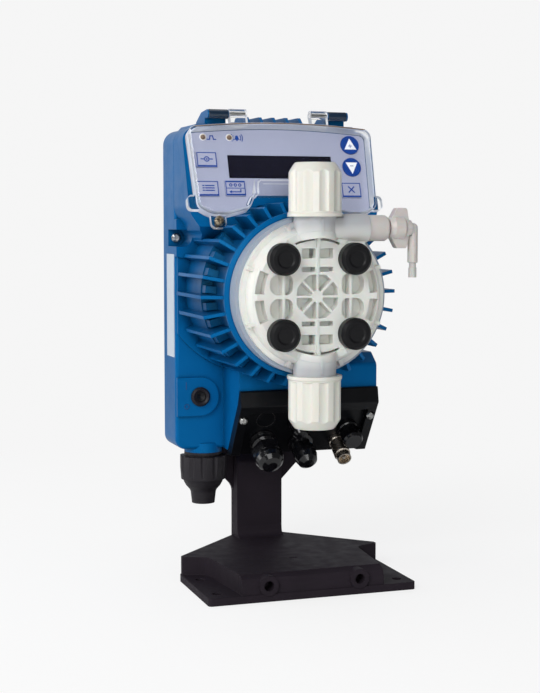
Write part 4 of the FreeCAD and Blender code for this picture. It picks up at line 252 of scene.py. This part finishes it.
FLANGE = moulded("flange_grey", linear((160, 171, 186)), 0.36, 0.02, 0.00002, 900.0, rounding=0.0004,
                 sss=0.15, sss_scale=0.003)
IVORY = moulded("ivory_gloss", linear((236, 234, 224)), 0.24, 0.012, 0.00001, 700.0, rounding=0.0005,
                sss=0.2, sss_scale=0.003, coat=0.3, coat_rough=0.12)
MILKY = moulded("milky_grey", linear((212, 207, 203)), 0.3, 0.03, 0.00001, 700.0, rounding=0.0004,
                sss=0.35, sss_scale=0.003)
MEMBRANE = moulded("membrane_film", linear((157, 161, 184)), 0.38, 0.015, 0.00001, 2600.0, rounding=0.0)
PRINT_BLUE = moulded("print_blue", linear((2, 56, 140)), 0.45, 0.03, 0.00001, 2600.0, rounding=0.0,
                     level=0.25)
BLUE_SIGN = moulded("blue_sign", linear((14, 74, 132)), 0.35, 0.03, 0.00001, 1500.0, rounding=0.0)
# Dark navy is painted shade on the blue hinge barrels; the gloss is real
BARREL_SHADE_BLUE = moulded("barrel_painted_shade", linear((22, 44, 66)), 0.14, 0.05, 0.000005, 500.0, coat=0.5)
# Painted highlight colour for the bright lines on the cover's notch
NOTCH_HIGHLIGHT = moulded("notch_painted_highlight", linear((206, 209, 217)), 0.15, 0.06, 0.000005, 500.0, rounding=0.0)
# Painted reflection colour for the line along the cover's top edge
AMBER_REFLECTION = moulded("amber_painted_reflection", linear((140, 118, 100)), 0.2, 0.12, 0.000005, 500.0, rounding=0.0)
PRINT_WHITE = moulded("print_white", linear((236, 238, 242)), 0.45, 0.01, 0.00001, 2600.0, rounding=0.0)
GLASS = moulded("display_glass", linear((14, 13, 30)), 0.12, 0.05, 0.000002, 300.0, rounding=0.0,
                level=0.3)
LABEL = moulded("label_white", linear((210, 220, 232)), 0.4, 0.01, 0.00001, 1500.0, rounding=0.0)
LED = lens("led_lens", linear((96, 74, 60)), linear((226, 214, 196)))
BOARD = moulded("board_green", linear((34, 92, 58)), 0.45, 0.10, 0.00003, 900.0)
COPPER = brushed("copper_wire", linear((178, 104, 58)), 0.35, (900, 60, 60))
STEEL = brushed("zinc_steel", linear((190, 190, 188)))
NICKEL = brushed("pale_nickel", linear((226, 216, 202)), 0.3)
BRONZE = brushed("worn_zinc", linear((178, 164, 140)), 0.3)
CLEAR = clear("clear_cover", (0.96, 0.965, 0.96))
CERAMIC = moulded("ceramic", linear((238, 238, 232)), 0.12, 0.01, 0.000002, 300.0, rounding=0.0)
PTFE = moulded("ptfe", linear((236, 236, 230)), 0.45, 0.01, 0.00001, 900.0)

NODE_MATERIALS = {
    BLUE: ["rear_cover", "front_casing"],
    FOOT: ["mounting_bracket"],
    BLACK: ["switch_bezel", "gland_body", "gland_nut", "coil_bobbin"],
    RUBBER: ["housing_gasket", "switch_button", "gland_seal", "bolt_caps"],
    SATIN_BLACK: ["connector_cover"],
    GLOSS_BLACK: ["signal_gland", "signal_gland_nut", "port_caps"],
    STEEL: ["bracket_screws", "casing_screws", "connector_screws", "hinge_pins", "head_bolts",
            "pole_plate", "solenoid_yoke", "armature", "return_spring"],
    BRONZE: ["cover_screws"],
    NICKEL: ["probe_socket"],
    WHITE: ["pump_head", "valve_cages", "discharge_clamp_ring", "suction_clamp_ring", "hose_nipples"],
    FLANGE: ["head_backplate"],
    IVORY: ["discharge_nut", "suction_nut"],
    MILKY: ["bleed_body", "bleed_needle", "bleed_knob", "bleed_elbow"],
    MEMBRANE: ["panel_membrane", "key_cal", "key_prog", "key_mode", "key_esc"],
    PRINT_BLUE: ["key_up", "key_down"],
    GLASS: ["display_window"],
    LED: ["led_pulse", "led_alarm"],
    LABEL: ["rating_label"],
    CLEAR: ["panel_cover"],
    BOARD: ["display_board", "main_board"],
    COPPER: ["solenoid_coil"],
    CERAMIC: ["discharge_ball", "suction_ball"],
    PTFE: ["diaphragm", "valve_seats", "shaft_bushes"],
}


def dress_nodes():
    """Gives every solid of the frame its finish."""
    for material, names in NODE_MATERIALS.items():
        for name in names:
            piece = NODES[name]
            piece.data.materials.clear()
            piece.data.materials.append(material)


dress_nodes()


# Meshes of the scene's own pieces

SHARP_ANGLE = math.radians(35)


def new_piece(name, points, faces, material):
    mesh = bpy.data.meshes.new(name)
    mesh.from_pydata(points, [], faces)
    mesh.materials.append(material)
    piece = bpy.data.objects.new(name, mesh)
    bpy.context.scene.collection.objects.link(piece)
    return piece


def face_outwards(mesh, smooth=False):
    bm = bmesh.new()
    bm.from_mesh(mesh)
    bmesh.ops.recalc_face_normals(bm, faces=bm.faces)
    for face in bm.faces:
        face.smooth = smooth
    bm.to_mesh(mesh)
    bm.free()


def soften(piece, width, segments=3):
    """Rounds the sharp edges of a piece."""
    rounding = piece.modifiers.new("soft_edges", "BEVEL")
    rounding.width = width
    rounding.segments = segments
    rounding.limit_method = "ANGLE"
    rounding.angle_limit = SHARP_ANGLE
    piece.modifiers.new("even_normals", "WEIGHTED_NORMAL")


def around(radius, share):
    """The point at a share of one turn round a circle."""
    angle = 2 * math.pi * share
    return radius * math.cos(angle), radius * math.sin(angle)


class Plane:
    """A flat place on the part, in millimetres: x to the right, u up it and n out of it."""

    def __init__(self, origin, right, up):
        self.origin = Vector(origin)
        self.right = Vector(right).normalized()
        self.up = Vector(up).normalized()
        self.out = self.right.cross(self.up).normalized()

    def at(self, x, u, n):
        return (self.origin + self.right * x + self.up * u + self.out * n) * MM


class Print:
    """Collects flat shapes on a plane and makes them into one thin raised mesh."""

    def __init__(self, plane, base, thick):
        self.plane = plane
        self.base = base
        self.thick = thick
        self.points = []
        self.faces = []

    def loop(self, outline, n):
        start = len(self.points)
        self.points += [self.plane.at(x, u, n) for x, u in outline]
        return list(range(start, len(self.points)))

    def shape(self, outline):
        """A closed shape, listed anticlockwise as seen from outside."""
        low = self.loop(outline, self.base)
        high = self.loop(outline, self.base + self.thick)
        self.faces.append(high)
        self.faces.append(low[::-1])
        count = len(outline)
        for i in range(count):
            j = (i + 1) % count
            self.faces.append([low[i], low[j], high[j], high[i]])

    def ring(self, x, u, inner, outer, start=0.0, end=360.0, steps=40):
        """A ring, or the arc of one between two angles."""
        for i in range(steps):
            a = math.radians(start + (end - start) * i / steps)
            b = math.radians(start + (end - start) * (i + 1) / steps)
            corners = [(outer, a), (outer, b), (inner, b), (inner, a)]
            self.shape([(x + r * math.cos(t), u + r * math.sin(t)) for r, t in corners])

    def disc(self, x, u, radius, steps=32):
        turns = [around(radius, i / steps) for i in range(steps)]
        self.shape([(x + right, u + up) for right, up in turns])

    def line(self, points, width):
        """A stroke through the points, with square ends a little past them."""
        for (x0, u0), (x1, u1) in zip(points, points[1:]):
            length = math.hypot(x1 - x0, u1 - u0)
            dx, du = (x1 - x0) / length * width / 2, (u1 - u0) / length * width / 2
            self.shape([(x0 - dx + du, u0 - du - dx), (x1 + dx + du, u1 + du - dx),
                        (x1 + dx - du, u1 + du + dx), (x0 - dx - du, u0 - du + dx)])

    def make(self, name, material, body="root", bevel=0.0):
        piece = new_piece(name, self.points, self.faces, material)
        if bevel:
            soften(piece, bevel)
        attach(piece, body)


def lathe(name, profile, origin, axis, material, steps=48):
    """A turned piece from (radius, distance along the axis) points in millimetres."""
    turn = Vector(axis).normalized().to_track_quat("Z", "Y").to_matrix()
    start = Vector(origin)
    points = []
    for radius, along in profile:
        for i in range(steps):
            local = Vector((*around(radius, i / steps), along))
            points.append((start + turn @ local) * MM)
    faces = []
    for k in range(len(profile)):
        following = (k + 1) % len(profile)
        for i in range(steps):
            j = (i + 1) % steps
            faces.append([k * steps + i, k * steps + j, following * steps + j, following * steps + i])
    piece = new_piece(name, points, faces, material)
    face_outwards(piece.data, smooth=True)
    soften(piece, 0.00025, 2)
    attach(piece, "root")


# Prints on the panel, in millimetres on its plane

LEAN = math.radians(18.9)
PANEL = Plane((0, 15.0, 204.8), (1, 0, 0), (0, math.sin(LEAN), math.cos(LEAN)))
FILM_TOP = -8.0
KEY_TOP = -7.5
INK_SINK = 0.01
INK_THICK = 0.07
SIGN_RAISE = 0.03
SEAT_THICK = 0.16
KEY_HALF = (5.7, 4.4)
KEY_LINE_INSET = 0.25
KEY_SIDE_LINE = 0.5
KEY_TOP_LINES = {"cal": 0.5, "prog": 0.5, "mode": 0.9, "esc": 0.5}
KEY_BOTTOM_LINE = 1.0
SYMBOL_RAISE = 0.3
KEY_PLACES = {"cal": (-41.5, 26.0), "prog": (-42.0, 9.7), "mode": (-27.1, 10.0), "esc": (39.1, 9.4)}
ARROW_PLACES = {"up": (41.4, 35.7), "down": (41.0, 22.8)}
ARROW_R = 5.3
LED_PLACES = [(-42.3, 38.9), (-27.6, 38.9)]


def key_frame(mark, x, u, top, bottom):
    """Printed outline of a square key, with its own widths at the top and the bottom."""
    half_x, half_u = KEY_HALF[0] - KEY_LINE_INSET, KEY_HALF[1] - KEY_LINE_INSET
    mark.shape([(x - half_x, u - half_u), (x + half_x, u - half_u), (x + half_x, u - half_u + bottom),
                (x - half_x, u - half_u + bottom)])
    mark.shape([(x - half_x, u + half_u - top), (x + half_x, u + half_u - top), (x + half_x, u + half_u),
                (x - half_x, u + half_u)])
    for side in (-1, 1):
        low, high = sorted((x + side * half_x, x + side * (half_x - KEY_SIDE_LINE)))
        mark.shape([(low, u - half_u + bottom), (high, u - half_u + bottom), (high, u + half_u - top),
                    (low, u + half_u - top)])


def make_key_prints():
    """Outlines and plain symbols on the square keys.

    They are a target, a list, three rings over a return arrow, and a cross.
    """
    marks = {name: Print(PANEL, KEY_TOP - INK_SINK, INK_THICK) for name in KEY_PLACES}
    for name, (x, u) in KEY_PLACES.items():
        key_frame(marks[name], x, u, KEY_TOP_LINES[name], KEY_BOTTOM_LINE)
    x, u = KEY_PLACES["cal"]
    marks["cal"].ring(x, u + SYMBOL_RAISE, 0.95, 1.55)
    marks["cal"].disc(x, u + SYMBOL_RAISE, 0.5)
    for side in (-1, 1):
        marks["cal"].line([(x + side * 1.9, u + SYMBOL_RAISE), (x + side * 3.1, u + SYMBOL_RAISE)], 0.6)
    x, u = KEY_PLACES["prog"]
    for row in (-1, 0, 1):
        level = u + SYMBOL_RAISE + row * 1.35
        for start, end in ((-1.6, 3.0), (-3.1, -2.5)):
            marks["prog"].line([(x + start, level), (x + end, level)], 0.62)
    x, u = KEY_PLACES["mode"]
    marks["mode"].line([(x - 5.2, u), (x + 5.2, u)], 0.42)
    for i in range(3):
        marks["mode"].ring(x - 2.5 + 2.5 * i, u + 1.75, 0.4, 0.95, steps=20)
    marks["mode"].line([(x + 2.8, u - 0.8), (x + 2.8, u - 2.1), (x - 2.4, u - 2.1)], 0.6)
    marks["mode"].shape([(x - 3.8, u - 2.1), (x - 2.2, u - 3.0), (x - 2.2, u - 1.2)])
    x, u = KEY_PLACES["esc"]
    for side in (-1, 1):
        low, high = u + SYMBOL_RAISE - side * 1.5, u + SYMBOL_RAISE + side * 1.5
        marks["esc"].line([(x - 1.5, low), (x + 1.5, high)], 0.7)
    for name, mark in marks.items():
        mark.make("print_" + name, PRINT_BLUE, "key_" + name)


def make_arrow_prints():
    """White triangles with a plus and a minus on the two round keys."""
    for name, (x, u) in ARROW_PLACES.items():
        white = Print(PANEL, KEY_TOP - INK_SINK, INK_THICK)
        sign = Print(PANEL, KEY_TOP + SIGN_RAISE, INK_THICK)
        r = ARROW_R
        if name == "up":
            white.shape([(x - 0.66 * r, u - 0.5 * r), (x + 0.66 * r, u - 0.5 * r), (x, u + 0.72 * r)])
            sign.line([(x - 0.17 * r, u - 0.12 * r), (x + 0.17 * r, u - 0.12 * r)], 0.36)
            sign.line([(x, u - 0.3 * r), (x, u + 0.06 * r)], 0.36)
        else:
            white.shape([(x - 0.64 * r, u + 0.5 * r), (x, u - 0.76 * r), (x + 0.64 * r, u + 0.5 * r)])
            sign.line([(x - 0.16 * r, u + 0.12 * r), (x + 0.16 * r, u + 0.12 * r)], 0.36)
        white.make("arrow_" + name, PRINT_WHITE, "key_" + name)
        sign.make("sign_" + name, PRINT_BLUE, "key_" + name)


def make_panel_prints():
    """Pulse sign and bell beside the two lamps, with a seat ring round each lamp."""
    mark = Print(PANEL, FILM_TOP - INK_SINK, INK_THICK)
    x, u = LED_PLACES[0][0] + 2.4, LED_PLACES[0][1] - 1.2
    pulse = [(0.0, 0.0), (1.2, 0.0), (1.6, 2.0), (3.0, 2.0), (3.4, 0.0), (4.6, 0.0)]
    mark.line([(x + px, u + pu) for px, pu in pulse], 0.6)
    x, u = LED_PLACES[1][0] + 4.2, LED_PLACES[1][1] - 1.2
    bell = [(-1.5, 0.0), (1.5, 0.0), (1.5, 0.35), (1.0, 0.8), (0.9, 1.7), (0.5, 2.4), (-0.5, 2.4),
            (-0.9, 1.7), (-1.0, 0.8), (-1.5, 0.35)]
    mark.shape([(x + bx, u + bu) for bx, bu in bell])
    mark.disc(x, u - 0.3, 0.45, 16)
    for side in (-1, 1):
        for reach in (2.3, 3.3):
            start, end = (-38, 38) if side > 0 else (142, 218)
            mark.ring(x, u + 1.1, reach - 0.24, reach + 0.24, start, end, 10)
    mark.make("lamp_signs", PRINT_BLUE)
    seats = Print(PANEL, FILM_TOP - 2 * INK_SINK, SEAT_THICK)
    for x, u in LED_PLACES:
        seats.ring(x, u, 1.6, 1.95)
    seats.make("lamp_seats", PRINT_WHITE)


# Signs, sleeves and lines on the housing, the tray and the cover, in millimetres

SWITCH_PAD = Plane((0, 50.2, 0), (1, 0, 0), (0, 0, 1))
SLEEVE = [(1.5, 0.0), (2.46, 0.0), (2.55, 0.4), (2.55, 10.4), (2.3, 11.1), (1.2, 11.25), (1.2, 10.9),
          (1.5, 10.6)]
SLEEVE_X, SLEEVE_Y, SLEEVE_Z = 28.5, 35.0, 251.6
TRAY_TOP, TRAY_FOOT = (20.4, 92.5), (38.5, 65.8)
TRAY_SLOPE = math.atan2(TRAY_TOP[1] - TRAY_FOOT[1], TRAY_FOOT[0] - TRAY_TOP[0])
TRAY = Plane((0, *TRAY_TOP), (1, 0, 0), (0, -math.cos(TRAY_SLOPE), math.sin(TRAY_SLOPE)))
TRAY_FLOOR = -3.55
COVER_ARC_R, COVER_ARC_TOP, COVER_ARC_REACH = 420.0, 45.71, 35.3
COVER_CORNER_TOP, COVER_CORNER_FALL = 47.2, 4.4 / 52.2
COVER_LINE_INSET = 1.1
COVER_LINE_REACH, COVER_LINE_STEP = 48, 2
COVER_SINK, COVER_INK = 0.17, 0.1


def make_housing_details():
    """Raised on and off signs beside the switch, and glossy sleeves on the hinge barrels, dark navy as
    painted shade on the blue barrels.
    """
    signs = Print(SWITCH_PAD, -0.02, 0.22)
    signs.line([(-47.9, 102.2), (-47.9, 106.0)], 0.5)
    signs.ring(-47.6, 92.6, 1.0, 1.5, steps=28)
    signs.make("switch_signs", BLUE_SIGN, bevel=0.00008)
    for side, name in ((-1, "left"), (1, "right")):
        lathe("hinge_sleeve_" + name, SLEEVE, (side * SLEEVE_X, SLEEVE_Y, SLEEVE_Z), (side, 0, 0), BARREL_SHADE_BLUE)


def make_connector_details():
    """Knock-out rings in the tray of the connector cover."""
    marks = Print(TRAY, TRAY_FLOOR, 0.45)
    marks.ring(-9.0, -9.4, 4.9, 5.5, steps=44)
    marks.ring(26.0, -8.0, 4.2, 4.7, steps=40)
    marks.make("tray_knockouts", GLOSS_BLACK, bevel=0.00015)


def make_cover_reflection():
    """Thin amber line along the arched top edge of the clear cover, a painted reflection."""
    places = []
    for x in range(-COVER_LINE_REACH, COVER_LINE_REACH + 1, COVER_LINE_STEP):
        if abs(x) < COVER_ARC_REACH:
            rise = COVER_ARC_TOP - (COVER_ARC_R - math.sqrt(COVER_ARC_R ** 2 - x ** 2))
        else:
            rise = COVER_CORNER_TOP - abs(x) * COVER_CORNER_FALL
        places.append((x, rise - COVER_LINE_INSET))
    edge = Print(PANEL, -COVER_SINK, COVER_INK)
    edge.line(places, 0.55)
    edge.make("cover_edge_painted_reflection", AMBER_REFLECTION, "cover")


def make_notch_highlights():
    """Painted highlights: bright lines along the top of the cover's notch, in front of which the upper nut
    stands.
    """
    lines = Print(PANEL, -COVER_SINK, COVER_INK)
    half = [(15.0, 12.1), (16.5, 10.6), (17.0, 7.2)]
    lines.line([(-x, u) for x, u in reversed(half)] + half, 0.75)
    lines.line([(-13.6, 10.0), (13.6, 10.0)], 0.4)
    lines.make("cover_notch_painted_highlights", NOTCH_HIGHLIGHT, "cover")


# Pieces that stand in for soft nodes, in metres

def give_way(piece, node):
    """The piece stands in for a soft node, which is hidden; the piece hangs on the root body with a mesh of
    its own.
    """
    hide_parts(node)
    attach(piece, "root")
    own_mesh(piece)


def make_return_spring():
    """Coil spring round the drive shaft, of round wire."""
    low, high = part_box("return_spring")
    wire, turns, sides, across = 0.0006, 4, 40, 12
    steps = turns * sides
    radius = (high[0] - low[0]) / 2 - wire
    start, travel = low[1] + wire, high[1] - low[1] - 2 * wire
    points, faces = [], []
    for i in range(steps + 1):
        along = start + travel * i / steps
        for k in range(across):
            outward, forward = around(wire, k / across)
            right, up = around(radius + outward, i / sides)
            points.append((right, along + forward, HEAD_AXIS_Z + up))
    for i in range(steps):
        for k in range(across):
            one, two = i * across + k, i * across + (k + 1) % across
            faces.append([one, two, two + across, one + across])
    faces.append(list(range(across))[::-1])
    faces.append(list(range(steps * across, (steps + 1) * across)))
    piece = new_piece("spring_coil", points, faces, STEEL)
    piece.data.shade_smooth()
    give_way(piece, "return_spring")


def make_diaphragm():
    """The diaphragm sheet and its hub, which the shaft presses towards the head."""
    piece = bpy.data.objects.new("diaphragm_sheet", NODES["diaphragm"].data.copy())
    bpy.context.scene.collection.objects.link(piece)
    soften(piece, 0.0003, 2)
    give_way(piece, "diaphragm")


# Ribs of the pump head over its necks, in millimetres from the head's axis

HEAD_FACE, NECK_AXIS, NECK_ROUND = 27.9, 23.5, 11.0
ARC_INNER, ARC_OUTER, ARC_RAISE = 29.6, 33.4, 0.25
ARC_START, ARC_END = 60, 120
RIB_HALF, RIB_END = 0.9, 39.4
IN_HEAD, IN_NECK = -26.5, -32.8
RIB_ROWS = [(12.0, 0.1, IN_HEAD), (24.0, 0.3, IN_HEAD), (29.0, 2.2, IN_HEAD), (31.0, 6.9, IN_HEAD),
            (31.4, 6.9, IN_NECK), (RIB_END, 6.9, IN_NECK)]


def front_over_neck(x):
    """How far forward the front of a rim arc lies at x, over the head's face or its round neck."""
    return -max(HEAD_FACE, NECK_AXIS + math.sqrt(max(0.0, NECK_ROUND ** 2 - x * x))) - ARC_RAISE


def bar(rows, name):
    """A four-cornered bar; each row has the two corners of its front and where its back lies."""
    points, faces = [], []
    for inner, outer, back in rows:
        for x, y, z in (inner, outer):
            points.append((x * MM, y * MM, HEAD_AXIS_Z + z * MM))
        for x, y, z in (outer, inner):
            points.append((x * MM, back * MM, HEAD_AXIS_Z + z * MM))
    for i in range(len(rows) - 1):
        for k in range(4):
            one, two = 4 * i + k, 4 * i + (k + 1) % 4
            faces.append([one, two, two + 4, one + 4])
    faces.append([3, 2, 1, 0])
    faces.append([4 * len(rows) - 4 + k for k in range(4)])
    piece = new_piece(name, points, faces, WHITE)
    face_outwards(piece.data)
    soften(piece, 0.0003, 2)
    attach(piece, "root")


def make_neck_ribs():
    """The head's round rim and its upright rib, carried over the foot of each neck."""
    for name, side in (("top", 1), ("low", -1)):
        rows = []
        for degrees in range(ARC_START, ARC_END + 1):
            angle = math.radians(degrees)
            corners = []
            for reach in (ARC_INNER, ARC_OUTER):
                x = reach * math.cos(angle)
                corners.append((x, front_over_neck(x), side * reach * math.sin(angle)))
            rows.append(corners + [IN_HEAD])
        bar(rows, "rim_arc_" + name)
        rows = []
        for reach, rise, back in RIB_ROWS:
            front, z = -HEAD_FACE - rise, side * reach
            rows.append([(-RIB_HALF, front, z), (RIB_HALF, front, z), back])
        bar(rows, "upright_rib_" + name)


make_key_prints()
make_arrow_prints()
make_cover_reflection()
make_notch_highlights()
make_neck_ribs()
make_return_spring()
make_diaphragm()
make_panel_prints()
make_housing_details()
make_connector_details()


# Stage, light and camera

FLOOR_HALF = 6.0
FLOOR_DROP = 0.0002
PALE = (0.92, 0.92, 0.92, 1.0)
FILL_COLOUR = (0.95, 0.97, 1.0, 1.0)
WORLD_FILL = 0.12
PAPER_FILL = 0.7
MIDDLE = (0.0, 0.01, 0.14)
CAMERA_PLACE = (-0.25744, -0.71821, 0.19368)
CAMERA_LENS = 96.9
CAMERA_DOWN, CAMERA_TURN = 4.87, -18.57


def seen_directly(tree):
    """1 for rays from the camera, also through clear plastic, and 0 once they have bounced."""
    path = tree.nodes.new("ShaderNodeLightPath")

    def calculate(operation, first, second):
        node = tree.nodes.new("ShaderNodeMath")
        node.operation = operation
        for socket, value in zip(node.inputs, (first, second)):
            if isinstance(value, float):
                socket.default_value = value
            else:
                tree.links.new(value, socket)
        return node.outputs["Value"]

    bounces = calculate("ADD", path.outputs["Glossy Depth"], path.outputs["Diffuse Depth"])
    straight = calculate("LESS_THAN", bounces, 0.5)
    through = calculate("MULTIPLY", path.outputs["Is Transmission Ray"], straight)
    return calculate("MAXIMUM", path.outputs["Is Camera Ray"], through)


def make_stage():
    """Pale floor that keeps the shadow near the part and glows evenly further out."""
    m = Nodes("floor")
    m.shader.inputs["Base Color"].default_value = PALE
    m.set(rough=0.8, level=0.1)
    glow = m.add("ShaderNodeEmission")
    glow.inputs["Color"].default_value = PALE
    distance = m.add("ShaderNodeVectorMath", operation="LENGTH")
    m.link(m.place, distance.inputs[0])
    far = m.spread(distance.outputs["Value"], 0.72, 1.0, 0.1, 0.5)
    m.link(m.spread(distance.outputs["Value"], 1.16, 1.0, 0.1, 0.5), glow.inputs["Strength"])
    both = m.add("ShaderNodeMath", operation="MULTIPLY")
    m.link(far, both.inputs[0])
    m.link(seen_directly(m.tree), both.inputs[1])
    mix = m.add("ShaderNodeMixShader")
    m.link(both.outputs["Value"], mix.inputs[0])
    m.link(m.shader.outputs["BSDF"], mix.inputs[1])
    m.link(glow.outputs["Emission"], mix.inputs[2])
    m.link(mix.outputs["Shader"], m.output.inputs["Surface"])
    corners = [(-FLOOR_HALF, -FLOOR_HALF, 0), (FLOOR_HALF, -FLOOR_HALF, 0), (FLOOR_HALF, FLOOR_HALF, 0),
               (-FLOOR_HALF, FLOOR_HALF, 0)]
    floor = new_piece("floor", corners, [(0, 1, 2, 3)], m.material)
    floor.location.z = -FLOOR_DROP


def make_world():
    """Even pale backdrop for the camera, and a weak fill that is brighter from behind the part."""
    world = bpy.data.worlds.new("studio")
    bpy.context.scene.world = world
    world.use_nodes = True
    tree = world.node_tree
    tree.nodes.clear()
    out = tree.nodes.new("ShaderNodeOutputWorld")
    mix = tree.nodes.new("ShaderNodeMixShader")
    seen = tree.nodes.new("ShaderNodeBackground")
    seen.inputs["Color"].default_value = PALE
    fill = tree.nodes.new("ShaderNodeBackground")
    fill.inputs["Color"].default_value = FILL_COLOUR
    place = tree.nodes.new("ShaderNodeTexCoord")
    split = tree.nodes.new("ShaderNodeSeparateXYZ")
    tree.links.new(place.outputs["Generated"], split.inputs[0])
    paper = tree.nodes.new("ShaderNodeMapRange")
    limits = {"From Min": 0.35, "From Max": 0.9, "To Min": WORLD_FILL, "To Max": PAPER_FILL}
    for name, value in limits.items():
        paper.inputs[name].default_value = value
    tree.links.new(split.outputs["Y"], paper.inputs["Value"])
    tree.links.new(paper.outputs["Result"], fill.inputs["Strength"])
    tree.links.new(seen_directly(tree), mix.inputs[0])
    tree.links.new(fill.outputs["Background"], mix.inputs[1])
    tree.links.new(seen.outputs["Background"], mix.inputs[2])
    tree.links.new(mix.outputs["Shader"], out.inputs["Surface"])


def make_lamp(name, place, size, power):
    """A soft rectangular lamp that faces the middle of the part."""
    lamp = bpy.data.lights.new(name, "AREA")
    lamp.shape = "RECTANGLE"
    lamp.size, lamp.size_y = size
    lamp.energy = power
    thing = bpy.data.objects.new(name, lamp)
    thing.location = place
    thing.rotation_mode = "QUATERNION"
    thing.rotation_quaternion = (Vector(MIDDLE) - Vector(place)).to_track_quat("-Z", "Y")
    bpy.context.scene.collection.objects.link(thing)


def make_camera():
    """The photograph's view."""
    data = bpy.data.cameras.new("camera")
    data.sensor_fit = "HORIZONTAL"
    data.sensor_width = 36.0
    data.lens = CAMERA_LENS
    data.clip_start = 0.05
    data.clip_end = 30.0
    camera = bpy.data.objects.new("camera", data)
    camera.location = CAMERA_PLACE
    camera.rotation_euler = (math.radians(90 - CAMERA_DOWN), 0.0, math.radians(CAMERA_TURN))
    bpy.context.scene.collection.objects.link(camera)
    bpy.context.scene.camera = camera


make_stage()
make_world()
make_lamp("key_light", (-1.0, -0.9, 1.0), (0.7, 0.7), 12.0)
make_lamp("front_light", (-0.3, -1.5, 0.35), (0.9, 0.6), 5.4)
make_lamp("side_light", (-1.25, 0.45, 0.45), (0.6, 0.9), 5.0)
make_lamp("top_light", (0.0, 0.1, 1.3), (0.8, 0.8), 1.7)
make_camera()
bpy.context.scene.view_settings.view_transform = "Standard"
